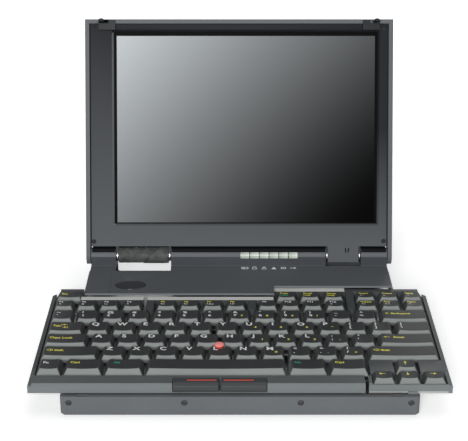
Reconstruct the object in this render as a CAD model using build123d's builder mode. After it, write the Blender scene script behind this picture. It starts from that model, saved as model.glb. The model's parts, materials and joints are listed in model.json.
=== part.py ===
import os
from math import cos, hypot, radians, sin

from build123d import *

os.makedirs("parts", exist_ok=True)

# A small laptop, open, whose keyboard is in two halves that spread past the case.
# Origin: on the table, under the middle of the open laptop. +X right, +Y to the back.
# All sizes are in millimetres.

# Case
case_width = 247.0
case_depth = 201.0
front = -132.34  # the case's front face, which puts the origin in the middle
back = front + case_depth
foot_height = 0.8
base_top = 16.2  # upper edge of the base
case_wall = 1.8
lip_depth = 3.9  # thick front wall that takes the latch hooks
case_corner = 3.0
bottom_edge = 2.0
fit_gap = 0.3
pad_size = 12.0  # square feet with cut corners
pad_corner = 2.5
pad_sink = 0.8

# Keyboard
keyboard_width = 291.4
key_pitch = 19.05
row_pitch = 18.6
key_top_z = 26.0
plate_bottom = 17.0
plate_thick = 1.6
plate_top = plate_bottom + plate_thick
key_travel = 2.5
skirt_z = plate_top + key_travel + 0.4
skirt_gap = 0.6  # from a key's skirt to the edge of its cell
split_gap = 1.2  # the same, along the line where the two halves part
stem_size = 4.0
top_side = 3.3  # how far a key's top is drawn in at each side
top_back = 1.3
top_front = 4.2
dish_depth = 0.55  # of the hollow along each key's top

# Palm strip and click buttons
palm_front = front + 3.7
palm_depth = 12.6
palm_top = 24.0
palm_bevel = 1.8
palm_gap = 2.4  # between the strip and its short end piece on the right half
end_piece = 2.4
front_strip = 1.4
front_strip_top = 23.4
panel_top = 23.8  # plain panels beside the upper arrow key
prop_left = 115.5  # small prop under the right half, which rests near the lip
prop_width = 6.3
button_width = 31.4
button_depth = 8.6
button_gap = 1.6
buttons_centre = -13.8
button_travel = 1.0
button_clear = 0.4
button_drop = 5.0  # how far the buttons reach down over the front of the strip

# Rows of keys, counted from the space bar's row
field_half = 7.5 * key_pitch
row_front = palm_front + palm_depth + 1.9
number_back = row_front + 5 * row_pitch
function_pitch = 17.35
function_depth = 15.0
function_space = 1.8
function_back = number_back + function_space + function_depth
upper_depth = 14.6
upper_back = function_back + upper_depth
rear_bar = 3.6
low_back = function_back + rear_bar  # rear edge behind the function keys
high_back = upper_back + 4.3  # rear edge behind the upper keys
frame_top = 25.2
side_wall = (keyboard_width - 2 * field_half) / 2
corner_cut = 6.0
side_top = 22.4
arrow_depth = 15.0
arrow_shift = 2.2  # rear edge of the lower arrow keys behind the space bar row's front
guide_size = 4.0
cap_cavity = 24.6  # underside of a hollow key's top
guide_top = cap_cavity - key_travel - 0.2

# The line where the keyboard parts, one x for each row of the left half
split_palm = 86.0
split_low = 1.75 * key_pitch
split_home = -0.75 * key_pitch
split_letters = -1.0 * key_pitch
split_numbers = -3.5 * key_pitch
split_functions = -field_half + 4 * function_pitch + 1.0
split_escape = -field_half + 22.5
bar_width = 6.0
bar_corner = 1.6
upper_left = 27.5  # left end of the upper keys on the right half

# Pointing stick
stick_radius = 3.7
stick_low = 23.8
stick_high = 28.2
stick_post = 2.4
post_top = 26.4
stick_clear = 4.9

# Lid
lid_angle = 110.4  # angle from shut to the photographed pose
axis_y = front + 190.7
axis_z = 34.2
lid_length = 190.0  # from the hinge axis to the lid's free edge
lid_start = 7.6
lid_back = 9.5  # outer face, behind the axis
lid_rim = 7.0  # edge of the rim, in front of the axis
rim_width = 3.4
lid_wall = 1.8
bezel_face = 4.5
bezel_thick = 1.6
screen_x = 5.3
screen_b = 103.2
screen_width = 209.6
screen_height = 152.0
screen_margin = 1.3
bezel_bevel = 1.4
lid_edge_round = 4.0

# Rear deck and hinges
deck_half = 119.7
deck_top = 28.2
deck_thick = 1.6
deck_bottom = deck_top - deck_thick
deck_front = front + 133.4
deck_front_right = front + 146.4
deck_notch_x = 27.0
deck_rise = axis_y - 7.1
barrel_radius = 6.3
rear_wall = 2.2
rear_shoulder = 31.0
sleeve_left = -97.7
sleeve_right = -57.0
sleeve_radius = 6.9
sleeve_notch = 16.4  # from the axis to the front of the opening below the sleeve
tab_left = 72.0
tab_right = 96.6
tab_end = 5.3
tab_thick = 2.0
cheek = 1.6
pin_radius = 2.4
pin_clear = 0.05
pin_length = 5.0
window_left = 0.7
window_width = 47.0
window_parts = 6
window_depth = 1.0

# Keyboard drive: a carriage and two eccentric discs under each half
inward = (keyboard_width - case_width) / 2
back_needed = low_back - (row_front + 4 * row_pitch)
back_travel = back_needed + 2.4
back_swing = back_travel / 4
side_swing = inward / 4 + 0.85
tray_z = 10.6
tray_thick = 1.0
drive_floor = tray_z + tray_thick
carriage_thick = 1.1
disc_radius = 14.0
disc_thick = 1.4
layer_gap = 0.3
rail_height = 1.0
rail_width = 1.2
slide_clear = 0.3
drive_pin = 1.5
carriage_half = 9.0
left_pin = (-70.0, front + 62.0)
right_pin = (70.0, front + 62.0)

# Latches
hook_x = 109.6
hook_width = 4.0
hook_thick = 2.0
hook_slide = 2.5
hook_reach = 13.4
latch_inner = 98.9
latch_outer = 112.9
latch_b = 181.4
slot_clear = 0.4

# Facts that follow from these sizes
lid_plane = Plane(
    origin=(0, axis_y, axis_z),
    x_dir=(1, 0, 0),
    z_dir=(0, -sin(radians(lid_angle)), -cos(radians(lid_angle))),
)
pieces = []


def keep(builder, name):
    """Labels a finished piece and notes it for writing."""
    builder.part.label = name
    pieces.append((builder.part, name))


def slab(x0, x1, y0, y1, z0, z1, mode=Mode.ADD):
    """A rectangular block between two corners, for the part being built."""
    with BuildSketch(Plane.XY.offset(z0)) as outline:
        with Locations(((x0 + x1) / 2, (y0 + y1) / 2)):
            Rectangle(x1 - x0, y1 - y0)
    extrude(outline.sketch, amount=z1 - z0, mode=mode)


def lid_slab(x0, x1, b0, b1, n0, n1, mode=Mode.ADD):
    """The same in the lid: b runs up the lid from the axis, n towards the user."""
    with BuildSketch(lid_plane.offset(n0)) as outline:
        with Locations(((x0 + x1) / 2, (b0 + b1) / 2)):
            Rectangle(x1 - x0, b1 - b0)
    extrude(outline.sketch, amount=n1 - n0, mode=mode)


def across(x0):
    """The plane across the hinge axis at x0, with its origin on the axis."""
    return Plane(origin=(x0, axis_y, axis_z), x_dir=(0, 1, 0), z_dir=(1, 0, 0))


def rod(x0, x1, radius, mode=Mode.ADD):
    """A round bar on the hinge axis."""
    with BuildSketch(across(x0)) as outline:
        Circle(radius)
    extrude(outline.sketch, amount=x1 - x0, mode=mode)


def row_line(row):
    """The front edge of a row's cells."""
    return row_front + row * row_pitch


def foot_pads(size, z):
    """The outline of the four feet, for the feet and for their pockets."""
    with BuildSketch(Plane.XY.offset(z)) as pads:
        with Locations((0, (front + back) / 2)):
            with GridLocations(case_width - 40, case_depth - 36, 2, 2):
                Rectangle(size, size)
        chamfer(pads.vertices(), length=pad_corner)
    return pads.sketch


# Base: an open tray-shaped case with a thick front lip
with BuildPart() as bottom_case:
    with BuildSketch(Plane.XY.offset(foot_height)):
        with Locations((0, (front + back) / 2)):
            RectangleRounded(case_width, case_depth, case_corner)
    extrude(amount=base_top - foot_height)
    chamfer(bottom_case.faces().sort_by(Axis.Z)[-1].edges(), length=0.5)
    chamfer(bottom_case.faces().sort_by(Axis.Z)[0].edges(), length=bottom_edge)
    with BuildSketch(Plane.XY.offset(foot_height + case_wall)):
        with Locations((0, (front + lip_depth + back - rear_wall) / 2)):
            RectangleRounded(
                case_width - 2 * case_wall, case_depth - lip_depth - rear_wall, 1.5
            )
    extrude(amount=base_top, mode=Mode.SUBTRACT)
    # Slots in the lip for the two latch hooks
    for side in (-1, 1):
        inner = side * (hook_x - hook_width / 2 - hook_slide - slot_clear)
        outer = side * (hook_x + hook_width / 2 + slot_clear)
        slab(
            min(inner, outer),
            max(inner, outer),
            front + 0.9,
            front + 0.9 + hook_thick + 0.7,
            base_top - 5.5,
            base_top + 1,
            Mode.SUBTRACT,
        )
    # Recessed screws across the front face
    with BuildSketch(Plane(origin=(0, front, 11.6), x_dir=(1, 0, 0), z_dir=(0, -1, 0))):
        with Locations((-117.4, 0), (-38.1, 0), (41.7, 0), (117.4, 0)):
            RegularPolygon(2.2, 12)
    extrude(amount=-1.4, mode=Mode.SUBTRACT)
    # Pockets for the feet
    extrude(foot_pads(pad_size + fit_gap, foot_height), amount=pad_sink, mode=Mode.SUBTRACT)
    # Openings in the rear wall for the connectors, and low place behind the sleeve
    slab(-10, 86, back - rear_wall - 1, back + 1, 4.6, 13.4, Mode.SUBTRACT)
    slab(
        sleeve_left - 1,
        sleeve_right + 1,
        back - rear_wall - 1,
        back + 1,
        14.2,
        base_top + 1,
        Mode.SUBTRACT,
    )
    # Card slot in the left wall
    slab(
        -case_width / 2 - 1,
        -case_width / 2 + case_wall + 1,
        front + 108,
        front + 163,
        3.6,
        9.6,
        Mode.SUBTRACT,
    )
    # Battery opening in the floor
    slab(4, 94, front + 12, front + 60, 0, foot_height + case_wall + 1, Mode.SUBTRACT)
    # Switch slot in the right wall
    slab(
        case_width / 2 - case_wall - 1,
        case_width / 2 + 1,
        back - 40,
        back - 29,
        7.2,
        9.8,
        Mode.SUBTRACT,
    )
keep(bottom_case, "bottom_case")

with BuildPart() as rubber_feet:
    extrude(foot_pads(pad_size, 0), amount=foot_height + pad_sink)
keep(rubber_feet, "rubber_feet")

with BuildPart() as front_screws:
    with BuildSketch(Plane(origin=(0, front + 1.4, 11.6), x_dir=(1, 0, 0), z_dir=(0, -1, 0))):
        with Locations((-117.4, 0), (-38.1, 0), (41.7, 0), (117.4, 0)):
            RegularPolygon(1.9, 12)
    extrude(amount=0.8)
keep(front_screws, "front_screws")

with BuildPart() as battery_pack:
    slab(4.4, 93.6, front + 12.4, front + 59.6, foot_height, tray_z - 0.6)
    fillet(battery_pack.edges().filter_by(Axis.Z), radius=2)
    # Finger grips pressed into the underside
    with BuildSketch(Plane.XY.offset(foot_height)):
        with Locations((49, front + 22)):
            with GridLocations(6, 1, 5, 1):
                Rectangle(2, 9)
    extrude(amount=0.6, mode=Mode.SUBTRACT)
keep(battery_pack, "battery_pack")

with BuildPart() as hard_drive:
    slab(-116, -46, front + 8, front + 90, foot_height + case_wall, tray_z - 0.8)
    fillet(hard_drive.edges().filter_by(Axis.Z), radius=2)
    with BuildSketch(Plane.XY.offset(tray_z - 0.8)):
        with Locations((-81, front + 50)):
            Rectangle(54, 62)
    extrude(amount=-0.5, mode=Mode.SUBTRACT)
keep(hard_drive, "hard_drive")

with BuildPart() as card_cage:
    slab(-case_width / 2 + case_wall + 0.1, -34, front + 106, front + 165, 2.6, 10.2)
    slab(-case_width / 2, -38, front + 108, front + 163, 3.4, 9.4, Mode.SUBTRACT)
keep(card_cage, "card_cage")

with BuildPart() as mainboard:
    with BuildSketch(Plane.XY.offset(4.2)):
        with Locations((40, front + 127)):
            Rectangle(144, 118)
    extrude(amount=1.4)
    # Posts down to the case floor
    with BuildSketch(Plane.XY.offset(foot_height + case_wall)):
        with Locations((40, front + 127)):
            with GridLocations(66, 106, 3, 2):
                Rectangle(4, 4)
    extrude(amount=4.2 - foot_height - case_wall)
    # Chip packages
    with BuildSketch(Plane.XY.offset(5.6)):
        with Locations((60, front + 110)):
            Rectangle(30, 30)
        with Locations((8, front + 100), (8, front + 130)):
            Rectangle(22, 22)
        with Locations((96, front + 150)):
            Rectangle(14, 20)
    extrude(amount=2.4)
keep(mainboard, "mainboard")

with BuildPart() as port_block:
    slab(-9.6, 85.6, back - 12, back - 0.6, 5.6, 13.0)
    # Two D-shaped connector faces, each with a raised shroud
    with BuildSketch(Plane(origin=(0, back - 0.6, 9.3), x_dir=(-1, 0, 0), z_dir=(0, 1, 0))):
        with Locations((-60, 0)):
            Trapezoid(38, 5.6, 76)
        with Locations((-18, 0)):
            Trapezoid(18, 5.6, 76)
    extrude(amount=-2.6, mode=Mode.SUBTRACT)
keep(port_block, "port_block")

with BuildPart() as keyboard_tray:
    slab(
        -case_width / 2 + case_wall + 2 * fit_gap,
        case_width / 2 - case_wall - 2 * fit_gap,
        front + lip_depth + 2 * fit_gap,
        back - rear_wall - 16,
        tray_z,
        drive_floor,
    )
    # Two straight rails for each carriage
    for pin, step in (
        (left_pin, (inward, 0.0)),
        (right_pin, (-inward, back_travel)),
    ):
        length = hypot(*step)
        run = Plane(
            origin=(pin[0] + step[0] / 2, pin[1] + step[1] / 2, drive_floor),
            x_dir=(step[0], step[1], 0),
            z_dir=(0, 0, 1),
        )
        with BuildSketch(run):
            with GridLocations(
                1, 2 * (carriage_half + slide_clear) + rail_width, 1, 2
            ):
                Rectangle(length + 2 * carriage_half + 4, rail_width)
        extrude(amount=rail_height)
keep(keyboard_tray, "keyboard_tray")

with BuildPart() as power_slider:
    slab(
        case_width / 2 - case_wall - 0.6,
        case_width / 2 + 0.9,
        back - 39.6,
        back - 33.4,
        7.5,
        9.5,
    )
    slab(
        case_width / 2 - case_wall - 1.8,
        case_width / 2 - case_wall - 0.4,
        back - 42,
        back - 31,
        6.4,
        10.2,
    )
keep(power_slider, "power_slider")

# Rear deck: a flat shelf with a round ridge along the hinge axis and a rear wall
with BuildPart() as rear_deck:
    with BuildSketch(Plane(origin=(-deck_half, 0, 0), x_dir=(0, 1, 0), z_dir=(1, 0, 0))):
        with BuildLine():
            arc_end = (
                axis_y + barrel_radius * cos(radians(20)),
                axis_z + barrel_radius * sin(radians(20)),
            )
            Polyline(
                (axis_y - barrel_radius, axis_z),
                (deck_rise, deck_top),
                (deck_front, deck_top),
                (deck_front, deck_bottom),
                (back - rear_wall, deck_bottom),
                (back - rear_wall, base_top),
                (back, base_top),
                (back, rear_shoulder),
                arc_end,
            )
            ThreePointArc(
                arc_end, (axis_y, axis_z + barrel_radius), (axis_y - barrel_radius, axis_z)
            )
        make_face()
    extrude(amount=2 * deck_half)
    # The right part of the shelf stands further back
    slab(
        deck_notch_x,
        deck_half + 1,
        deck_front - 1,
        deck_front_right,
        deck_bottom - 1,
        deck_top + 1,
        Mode.SUBTRACT,
    )
    # Open places for the two hinges; the left one is open to the rear
    slab(
        sleeve_left - cheek - fit_gap,
        sleeve_right + cheek + fit_gap,
        axis_y - sleeve_notch,
        back + 1,
        base_top - 3,
        axis_z + 10,
        Mode.SUBTRACT,
    )
    slab(
        tab_left - cheek - fit_gap,
        tab_right + cheek + fit_gap,
        axis_y - 8.0,
        axis_y + 8.0,
        deck_bottom - 1,
        axis_z + 10,
        Mode.SUBTRACT,
    )
    # Bores for the four hinge pins
    for x0, x1 in (
        (sleeve_left - cheek - fit_gap - pin_length - 0.5, sleeve_left),
        (sleeve_right, sleeve_right + cheek + fit_gap + pin_length + 0.5),
        (tab_left - cheek - fit_gap - pin_length - 0.5, tab_left),
        (tab_right, tab_right + cheek + fit_gap + pin_length + 0.5),
    ):
        rod(x0, x1, pin_radius + pin_clear, Mode.SUBTRACT)
    # Seat for the indicator window on the ridge
    with BuildSketch(
        across(window_left)
    ):
        Circle(barrel_radius + 1)
        Circle(barrel_radius - window_depth - 0.05, mode=Mode.SUBTRACT)
        with Locations((8, 0)):
            Rectangle(16, 20, mode=Mode.SUBTRACT)
        with Locations((0, -10)):
            Rectangle(20, 20, mode=Mode.SUBTRACT)
    extrude(amount=window_width, mode=Mode.SUBTRACT)
    # Seat for the oval plate
    with BuildSketch(Plane.XY.offset(deck_top)):
        with Locations((-85.3, front + 148.2)):
            Ellipse(12.2, 8.2)
    extrude(amount=-0.6, mode=Mode.SUBTRACT)
keep(rear_deck, "rear_deck")

with BuildPart() as indicator_window:
    with BuildSketch(
        across(window_left)
    ):
        Circle(barrel_radius)
        Circle(barrel_radius - window_depth, mode=Mode.SUBTRACT)
        with Locations((8, 0)):
            Rectangle(16, 20, mode=Mode.SUBTRACT)
        with Locations((0, -10)):
            Rectangle(20, 20, mode=Mode.SUBTRACT)
    extrude(amount=window_width)
    # Grooves that part it into lenses
    step = window_width / window_parts
    with BuildSketch(Plane.XY.offset(axis_z - 1)):
        with Locations((window_left + window_width / 2, axis_y - barrel_radius)):
            with GridLocations(step, 1, window_parts - 1, 1):
                Rectangle(0.8, 2 * 0.35)
    extrude(amount=barrel_radius, mode=Mode.SUBTRACT)
keep(indicator_window, "indicator_window")

with BuildPart() as oval_plate:
    with BuildSketch(Plane.XY.offset(deck_top - 0.6)):
        with Locations((-85.3, front + 148.2)):
            Ellipse(12.0, 8.0)
    extrude(amount=0.9)
keep(oval_plate, "oval_plate")

# Lid: a hollow shell with a rim, and ears that reach down beside the ridge
with BuildPart() as lid_shell:
    lid_slab(
        -case_width / 2, case_width / 2, lid_start, lid_length, -lid_back, lid_rim
    )
    outer_face = lid_shell.faces().sort_by(Axis((0, 0, 0), lid_plane.z_dir))[0]
    fillet(outer_face.edges(), radius=lid_edge_round)
    # Hollow, with a low wall along the hinge side
    lid_slab(
        -case_width / 2 + rim_width,
        case_width / 2 - rim_width,
        lid_start + lid_wall,
        lid_length - rim_width,
        -lid_back + lid_wall,
        lid_rim + 1,
        Mode.SUBTRACT,
    )
    lid_slab(
        -case_width / 2 + rim_width,
        case_width / 2 - rim_width,
        lid_start - 1,
        lid_start + lid_wall + 1,
        bezel_face - bezel_thick,
        lid_rim + 1,
        Mode.SUBTRACT,
    )
    # Places for the latches in the free edge
    for side in (-1, 1):
        lid_slab(
            min(side * latch_inner, side * latch_outer),
            max(side * latch_inner, side * latch_outer),
            lid_length - rim_width - 1,
            lid_length + 1,
            bezel_face - bezel_thick,
            lid_rim + 1,
            Mode.SUBTRACT,
        )
    # Ears
    for side in (-1, 1):
        with BuildSketch(
            Plane(
                origin=(side * case_width / 2, axis_y, axis_z),
                x_dir=lid_plane.y_dir,
                z_dir=(1, 0, 0),
            )
        ) as ear:
            Circle(lid_rim)
            with Locations((lid_start / 2 + 1, 0)):
                Rectangle(lid_start + 2, 2 * lid_rim)
        extrude(amount=-side * (rim_width - 0.1))
keep(lid_shell, "lid_shell")

with BuildPart() as lid_bezel:
    lid_slab(
        -case_width / 2 + rim_width + 0.2,
        case_width / 2 - rim_width - 0.2,
        lid_start,
        lid_length - rim_width - 0.2,
        bezel_face - bezel_thick,
        bezel_face,
    )
    # Places for the latches
    for side in (-1, 1):
        lid_slab(
            min(side * latch_inner, side * latch_outer),
            max(side * latch_inner, side * latch_outer),
            latch_b,
            lid_length,
            0,
            lid_rim,
            Mode.SUBTRACT,
        )
    # Screen opening, bevelled towards the glass
    with BuildSketch(lid_plane.offset(bezel_face)):
        with Locations((screen_x, screen_b)):
            Rectangle(
                screen_width + 2 * (screen_margin + bezel_bevel),
                screen_height + 2 * (screen_margin + bezel_bevel),
            )
    with BuildSketch(lid_plane.offset(bezel_face - bezel_thick)):
        with Locations((screen_x, screen_b)):
            Rectangle(
                screen_width + 2 * screen_margin, screen_height + 2 * screen_margin
            )
    loft(mode=Mode.SUBTRACT)
    # Tab that closes the right hinge
    lid_slab(tab_left, tab_right, -tab_end, lid_start, bezel_face - tab_thick, bezel_face)
    with BuildSketch(lid_plane.offset(bezel_face)):
        with Locations((86.4, 3.6), (88.2, 3.6)):
            Rectangle(0.7, 3.6)
    extrude(amount=-1.0, mode=Mode.SUBTRACT)
keep(lid_bezel, "lid_bezel")

with BuildPart() as screen_glass:
    lid_slab(
        screen_x - screen_width / 2 - 5,
        screen_x + screen_width / 2 + 3,
        screen_b - screen_height / 2 - 5,
        screen_b + screen_height / 2 + 5,
        bezel_face - bezel_thick - 1.1,
        bezel_face - bezel_thick,
    )
keep(screen_glass, "screen_glass")

with BuildPart() as lcd_panel:
    lid_slab(
        screen_x - screen_width / 2 - 5,
        screen_x + screen_width / 2 + 3,
        screen_b - screen_height / 2 - 5,
        screen_b + screen_height / 2 + 5,
        -lid_back + lid_wall + 1.2,
        bezel_face - bezel_thick - 1.1,
    )
keep(lcd_panel, "lcd_panel")

with BuildPart() as inverter_board:
    lid_slab(-60, 20, lid_start + 3.2, lid_start + 11, -6.0, -4.6)
    lid_slab(-54, -34, lid_start + 4, lid_start + 10, -4.6, 1.0)
    lid_slab(-20, -4, lid_start + 4, lid_start + 9, -4.6, -1.0)
    lid_slab(-58, -56, lid_start + 4, lid_start + 10, -lid_back + lid_wall, -6.0)
    lid_slab(16, 18, lid_start + 4, lid_start + 10, -lid_back + lid_wall, -6.0)
keep(inverter_board, "inverter_board")

with BuildPart() as bezel_screws:
    with BuildSketch(lid_plane.offset(bezel_face)):
        with Locations((-116.9, 182.7), (116.3, 182.7), (-117.4, 11.5), (116.9, 11.9)):
            RegularPolygon(1.8, 12)
    extrude(amount=0.4)
keep(bezel_screws, "bezel_screws")

# Hinges: steel cheeks under the lid's lower wall, each with a pin into the ridge
with BuildPart() as hinge_cheeks:
    for x0, pin_side in (
        (sleeve_left - cheek, -1),
        (sleeve_right, 1),
        (tab_left - cheek, -1),
        (tab_right, 1),
    ):
        with BuildSketch(
            Plane(origin=(x0, axis_y, axis_z), x_dir=lid_plane.y_dir, z_dir=(1, 0, 0))
        ):
            Circle(4.4)
            with Locations((lid_start / 2, 0)):
                Rectangle(lid_start, 8.8)
        extrude(amount=cheek)
        if pin_side < 0:
            rod(x0 - fit_gap - pin_length, x0 + 0.2, pin_radius)
        else:
            rod(x0 + cheek - 0.2, x0 + cheek + fit_gap + pin_length, pin_radius)
    # The right hinge's own barrel, behind the tab
    rod(tab_left, tab_right, pin_radius)
    lid_slab(tab_left, tab_right, 0, lid_start, -3.4, bezel_face - tab_thick)
keep(hinge_cheeks, "hinge_cheeks")

with BuildPart() as cable_sleeve:
    rod(sleeve_left + 0.1, sleeve_right - 0.1, sleeve_radius)
keep(cable_sleeve, "cable_sleeve")

# Latches in the lid's free edge
with BuildPart() as latch_blocks:
    for side in (-1, 1):
        lid_slab(
            min(side * (latch_inner + 0.2), side * (latch_outer - 0.2)),
            max(side * (latch_inner + 0.2), side * (latch_outer - 0.2)),
            latch_b + 0.2,
            lid_length,
            bezel_face - bezel_thick,
            lid_rim - 0.5,
        )
        near = side * (hook_x - hook_width / 2 - hook_slide - slot_clear)
        far = side * (hook_x + hook_width / 2 + slot_clear)
        lid_slab(
            min(near, far),
            max(near, far),
            lid_length - 3.0,
            lid_length - 0.2,
            bezel_face - bezel_thick - 1,
            lid_rim + 1,
            Mode.SUBTRACT,
        )
keep(latch_blocks, "latch_blocks")


def latch_hook(side):
    """A flat hook with a chamfered nose and a catch that points outwards."""
    with BuildPart() as hook:
        root = bezel_face - bezel_thick + 0.2
        tip = lid_rim + hook_reach
        inner = hook_x - hook_width / 2
        with BuildSketch(
            Plane(
                origin=tuple(lid_plane.from_local_coords((0, lid_length - 2.6, 0))),
                x_dir=(1, 0, 0),
                z_dir=lid_plane.y_dir,
            )
        ):
            with BuildLine():
                points = (
                    (inner, root),
                    (inner + hook_width - 1.2, root),
                    (inner + hook_width - 1.2, tip - 4.2),
                    (inner + hook_width, tip - 3.4),
                    (inner + hook_width - 1.6, tip),
                    (inner, tip),
                )
                Polyline(*[(side * x, -n) for x, n in points], close=True)
            make_face()
        extrude(amount=hook_thick)
    return hook


left_latch_hook = latch_hook(-1)
keep(left_latch_hook, "left_latch_hook")
right_latch_hook = latch_hook(1)
keep(right_latch_hook, "right_latch_hook")


# Keyboard drive under each half
def drive_disc(start, arm, bottom, post=0.0):
    """A disc with a pin down at its centre, and off centre a pin hole or a post."""
    length = hypot(*arm)
    run = Plane(
        origin=(start[0], start[1], bottom), x_dir=(arm[0], arm[1], 0), z_dir=(0, 0, 1)
    )
    with BuildPart() as disc:
        with BuildSketch(run):
            Circle(disc_radius)
            if not post:
                with Locations((length, 0)):
                    Circle(drive_pin + pin_clear, mode=Mode.SUBTRACT)
        extrude(amount=disc_thick)
        with BuildSketch(run):
            Circle(drive_pin)
        extrude(amount=-(layer_gap + carriage_thick - 0.2))
        if post:
            with BuildSketch(run):
                with Locations((length, 0)):
                    Circle(drive_pin)
            extrude(amount=disc_thick + post)
    return disc


def carriage(pin, step):
    """The sliding block between the rails, with the first disc's pin hole."""
    run = Plane(
        origin=(pin[0], pin[1], drive_floor + 0.1),
        x_dir=(step[0], step[1], 0),
        z_dir=(0, 0, 1),
    )
    with BuildPart() as block:
        with BuildSketch(run):
            RectangleRounded(2 * carriage_half, 2 * carriage_half, 1.5)
            Circle(drive_pin + pin_clear, mode=Mode.SUBTRACT)
        extrude(amount=carriage_thick)
    return block


crank_z = drive_floor + 0.1 + carriage_thick + layer_gap
link_z = crank_z + disc_thick + layer_gap
post_height = plate_top - 0.2 - link_z - disc_thick
left_arm = (side_swing / 2, 0.0)
right_arm = (-side_swing / 2, -back_swing / 2)
left_start = left_pin
right_start = right_pin
left_end = (left_start[0] + 2 * left_arm[0], left_start[1] + 2 * left_arm[1])
right_end = (right_start[0] + 2 * right_arm[0], right_start[1] + 2 * right_arm[1])

left_carriage = carriage(left_start, (inward, 0.0))
keep(left_carriage, "left_carriage")
left_crank = drive_disc(left_start, left_arm, crank_z)
keep(left_crank, "left_crank")
left_link = drive_disc(
    (left_start[0] + left_arm[0], left_start[1] + left_arm[1]), left_arm, link_z, post_height
)
keep(left_link, "left_link")
right_carriage = carriage(right_start, (-inward, back_travel))
keep(right_carriage, "right_carriage")
right_crank = drive_disc(right_start, right_arm, crank_z)
keep(right_crank, "right_crank")
right_link = drive_disc(
    (right_start[0] + right_arm[0], right_start[1] + right_arm[1]), right_arm, link_z, post_height
)
keep(right_link, "right_link")


# Keyboard halves
left_edge = -keyboard_width / 2
right_edge = keyboard_width / 2
arrow_x = split_low + 3 * key_pitch
arrow_pitch = 2.75 / 3 * key_pitch
left_outline = [
    (left_edge + side_wall, palm_front + palm_depth),
    (split_low - split_gap, palm_front + palm_depth),
    (split_low - split_gap, row_line(2) - skirt_gap),
    (split_home - split_gap, row_line(2) - skirt_gap),
    (split_home - split_gap, row_line(3) - skirt_gap),
    (split_letters - split_gap, row_line(3) - skirt_gap),
    (split_letters - split_gap, row_line(4) - skirt_gap),
    (split_numbers - split_gap, row_line(4) - skirt_gap),
    (split_numbers - split_gap, row_line(5) - skirt_gap),
    (split_functions - split_gap, row_line(5) - skirt_gap),
    (split_functions - split_gap, low_back),
    (split_escape - split_gap, low_back),
    (split_escape - split_gap, high_back),
    (left_edge + corner_cut, high_back),
    (left_edge + side_wall, high_back - corner_cut + side_wall),
]
right_outline = [
    (right_edge - side_wall, palm_front),
    (split_palm + palm_gap, palm_front),
    (split_palm + palm_gap, row_line(0) + skirt_gap),
    (split_low + split_gap, row_line(0) + skirt_gap),
    (split_low + split_gap, row_line(2) + skirt_gap),
    (split_home + split_gap, row_line(2) + skirt_gap),
    (split_home + split_gap, row_line(3) + skirt_gap),
    (split_letters + split_gap, row_line(3) + skirt_gap),
    (split_letters + split_gap, row_line(4) + skirt_gap),
    (split_numbers + split_gap, row_line(4) + skirt_gap),
    (split_numbers + split_gap, row_line(5) + skirt_gap),
    (split_functions + split_gap, row_line(5) + skirt_gap),
    (split_functions + split_gap, low_back),
    (upper_left - 0.8, low_back),
    (upper_left - 0.8, high_back),
    (right_edge - corner_cut, high_back),
    (right_edge - side_wall, high_back - corner_cut + side_wall),
]


# Keys: each is a tapered block with a hollowed top and a stem that stands on the plate
def key_cap(x0, x1, y_back, depth, left=skirt_gap, right=skirt_gap, hollow=False):
    """One key for the cell x0..x1 whose rear edge is y_back."""
    y_front = y_back - depth
    middle = ((x0 + x1) / 2, y_back - depth / 2)
    with BuildPart() as cap:
        with BuildSketch(
            Plane(origin=(x0 + left, 0, 0), x_dir=(0, 1, 0), z_dir=(1, 0, 0))
        ) as side_view:
            with BuildLine():
                Polyline(
                    (y_front + skirt_gap, skirt_z),
                    (y_back - skirt_gap, skirt_z),
                    (y_back - top_back, key_top_z),
                    (y_front + top_front, key_top_z),
                    close=True,
                )
            make_face()
        extrude(side_view.sketch, amount=x1 - x0 - left - right)
        with BuildSketch(
            Plane(origin=(0, y_front, 0), x_dir=(1, 0, 0), z_dir=(0, -1, 0))
        ) as front_view:
            with BuildLine():
                Polyline(
                    (x0 + top_side, key_top_z),
                    (x0 + left, skirt_z),
                    (x1 - right, skirt_z),
                    (x1 - top_side, key_top_z),
                )
                ThreePointArc(
                    (x1 - top_side, key_top_z),
                    (middle[0], key_top_z - dish_depth),
                    (x0 + top_side, key_top_z),
                )
            make_face()
        extrude(front_view.sketch, amount=-depth, mode=Mode.INTERSECT)
        if hollow:
            with BuildSketch(Plane.XY.offset(skirt_z)) as cavity:
                with Locations(middle):
                    Rectangle(guide_size + 2 * fit_gap, guide_size + 2 * fit_gap)
            extrude(cavity.sketch, amount=cap_cavity - skirt_z, mode=Mode.SUBTRACT)
        else:
            with BuildSketch(Plane.XY.offset(plate_top)) as stem:
                with Locations(middle):
                    Rectangle(stem_size, stem_size)
            extrude(stem.sketch, amount=skirt_z - plate_top + 0.2)
    return cap.part


def wide_key(x0, width, row, name, right=skirt_gap):
    """A key with a node of its own, which moves on the guide that stands under it."""
    cap = key_cap(x0, x0 + width * key_pitch, row_line(row + 1), row_pitch, right=right, hollow=True)
    key_node([cap], name)


def guide(x0, width, y_middle):
    """The guide that stands on a plate under a key x0..x0 + width key pitches."""
    x = x0 + width * key_pitch / 2
    half = guide_size / 2
    slab(x - half, x + half, y_middle - half, y_middle + half, plate_top, guide_top)


def key_run(x, widths, y_back, depth, first=skirt_gap, last=skirt_gap):
    """A run of keys side by side, from x, with widths in key pitches."""
    caps = []
    for i, width in enumerate(widths):
        wide = width * key_pitch
        caps.append(
            key_cap(
                x,
                x + wide,
                y_back,
                depth,
                first if i == 0 else skirt_gap,
                last if i == len(widths) - 1 else skirt_gap,
            )
        )
        x += wide
    return caps


def key_node(caps, name):
    """Joins keys that share a node, each still a solid of its own."""
    with BuildPart() as keys:
        add(caps)
    keep(keys, name)


left_x = -field_half
pitch_f = function_pitch / key_pitch
r0, r1, r2, r3, r4 = (row_line(i + 1) for i in range(5))

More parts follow.
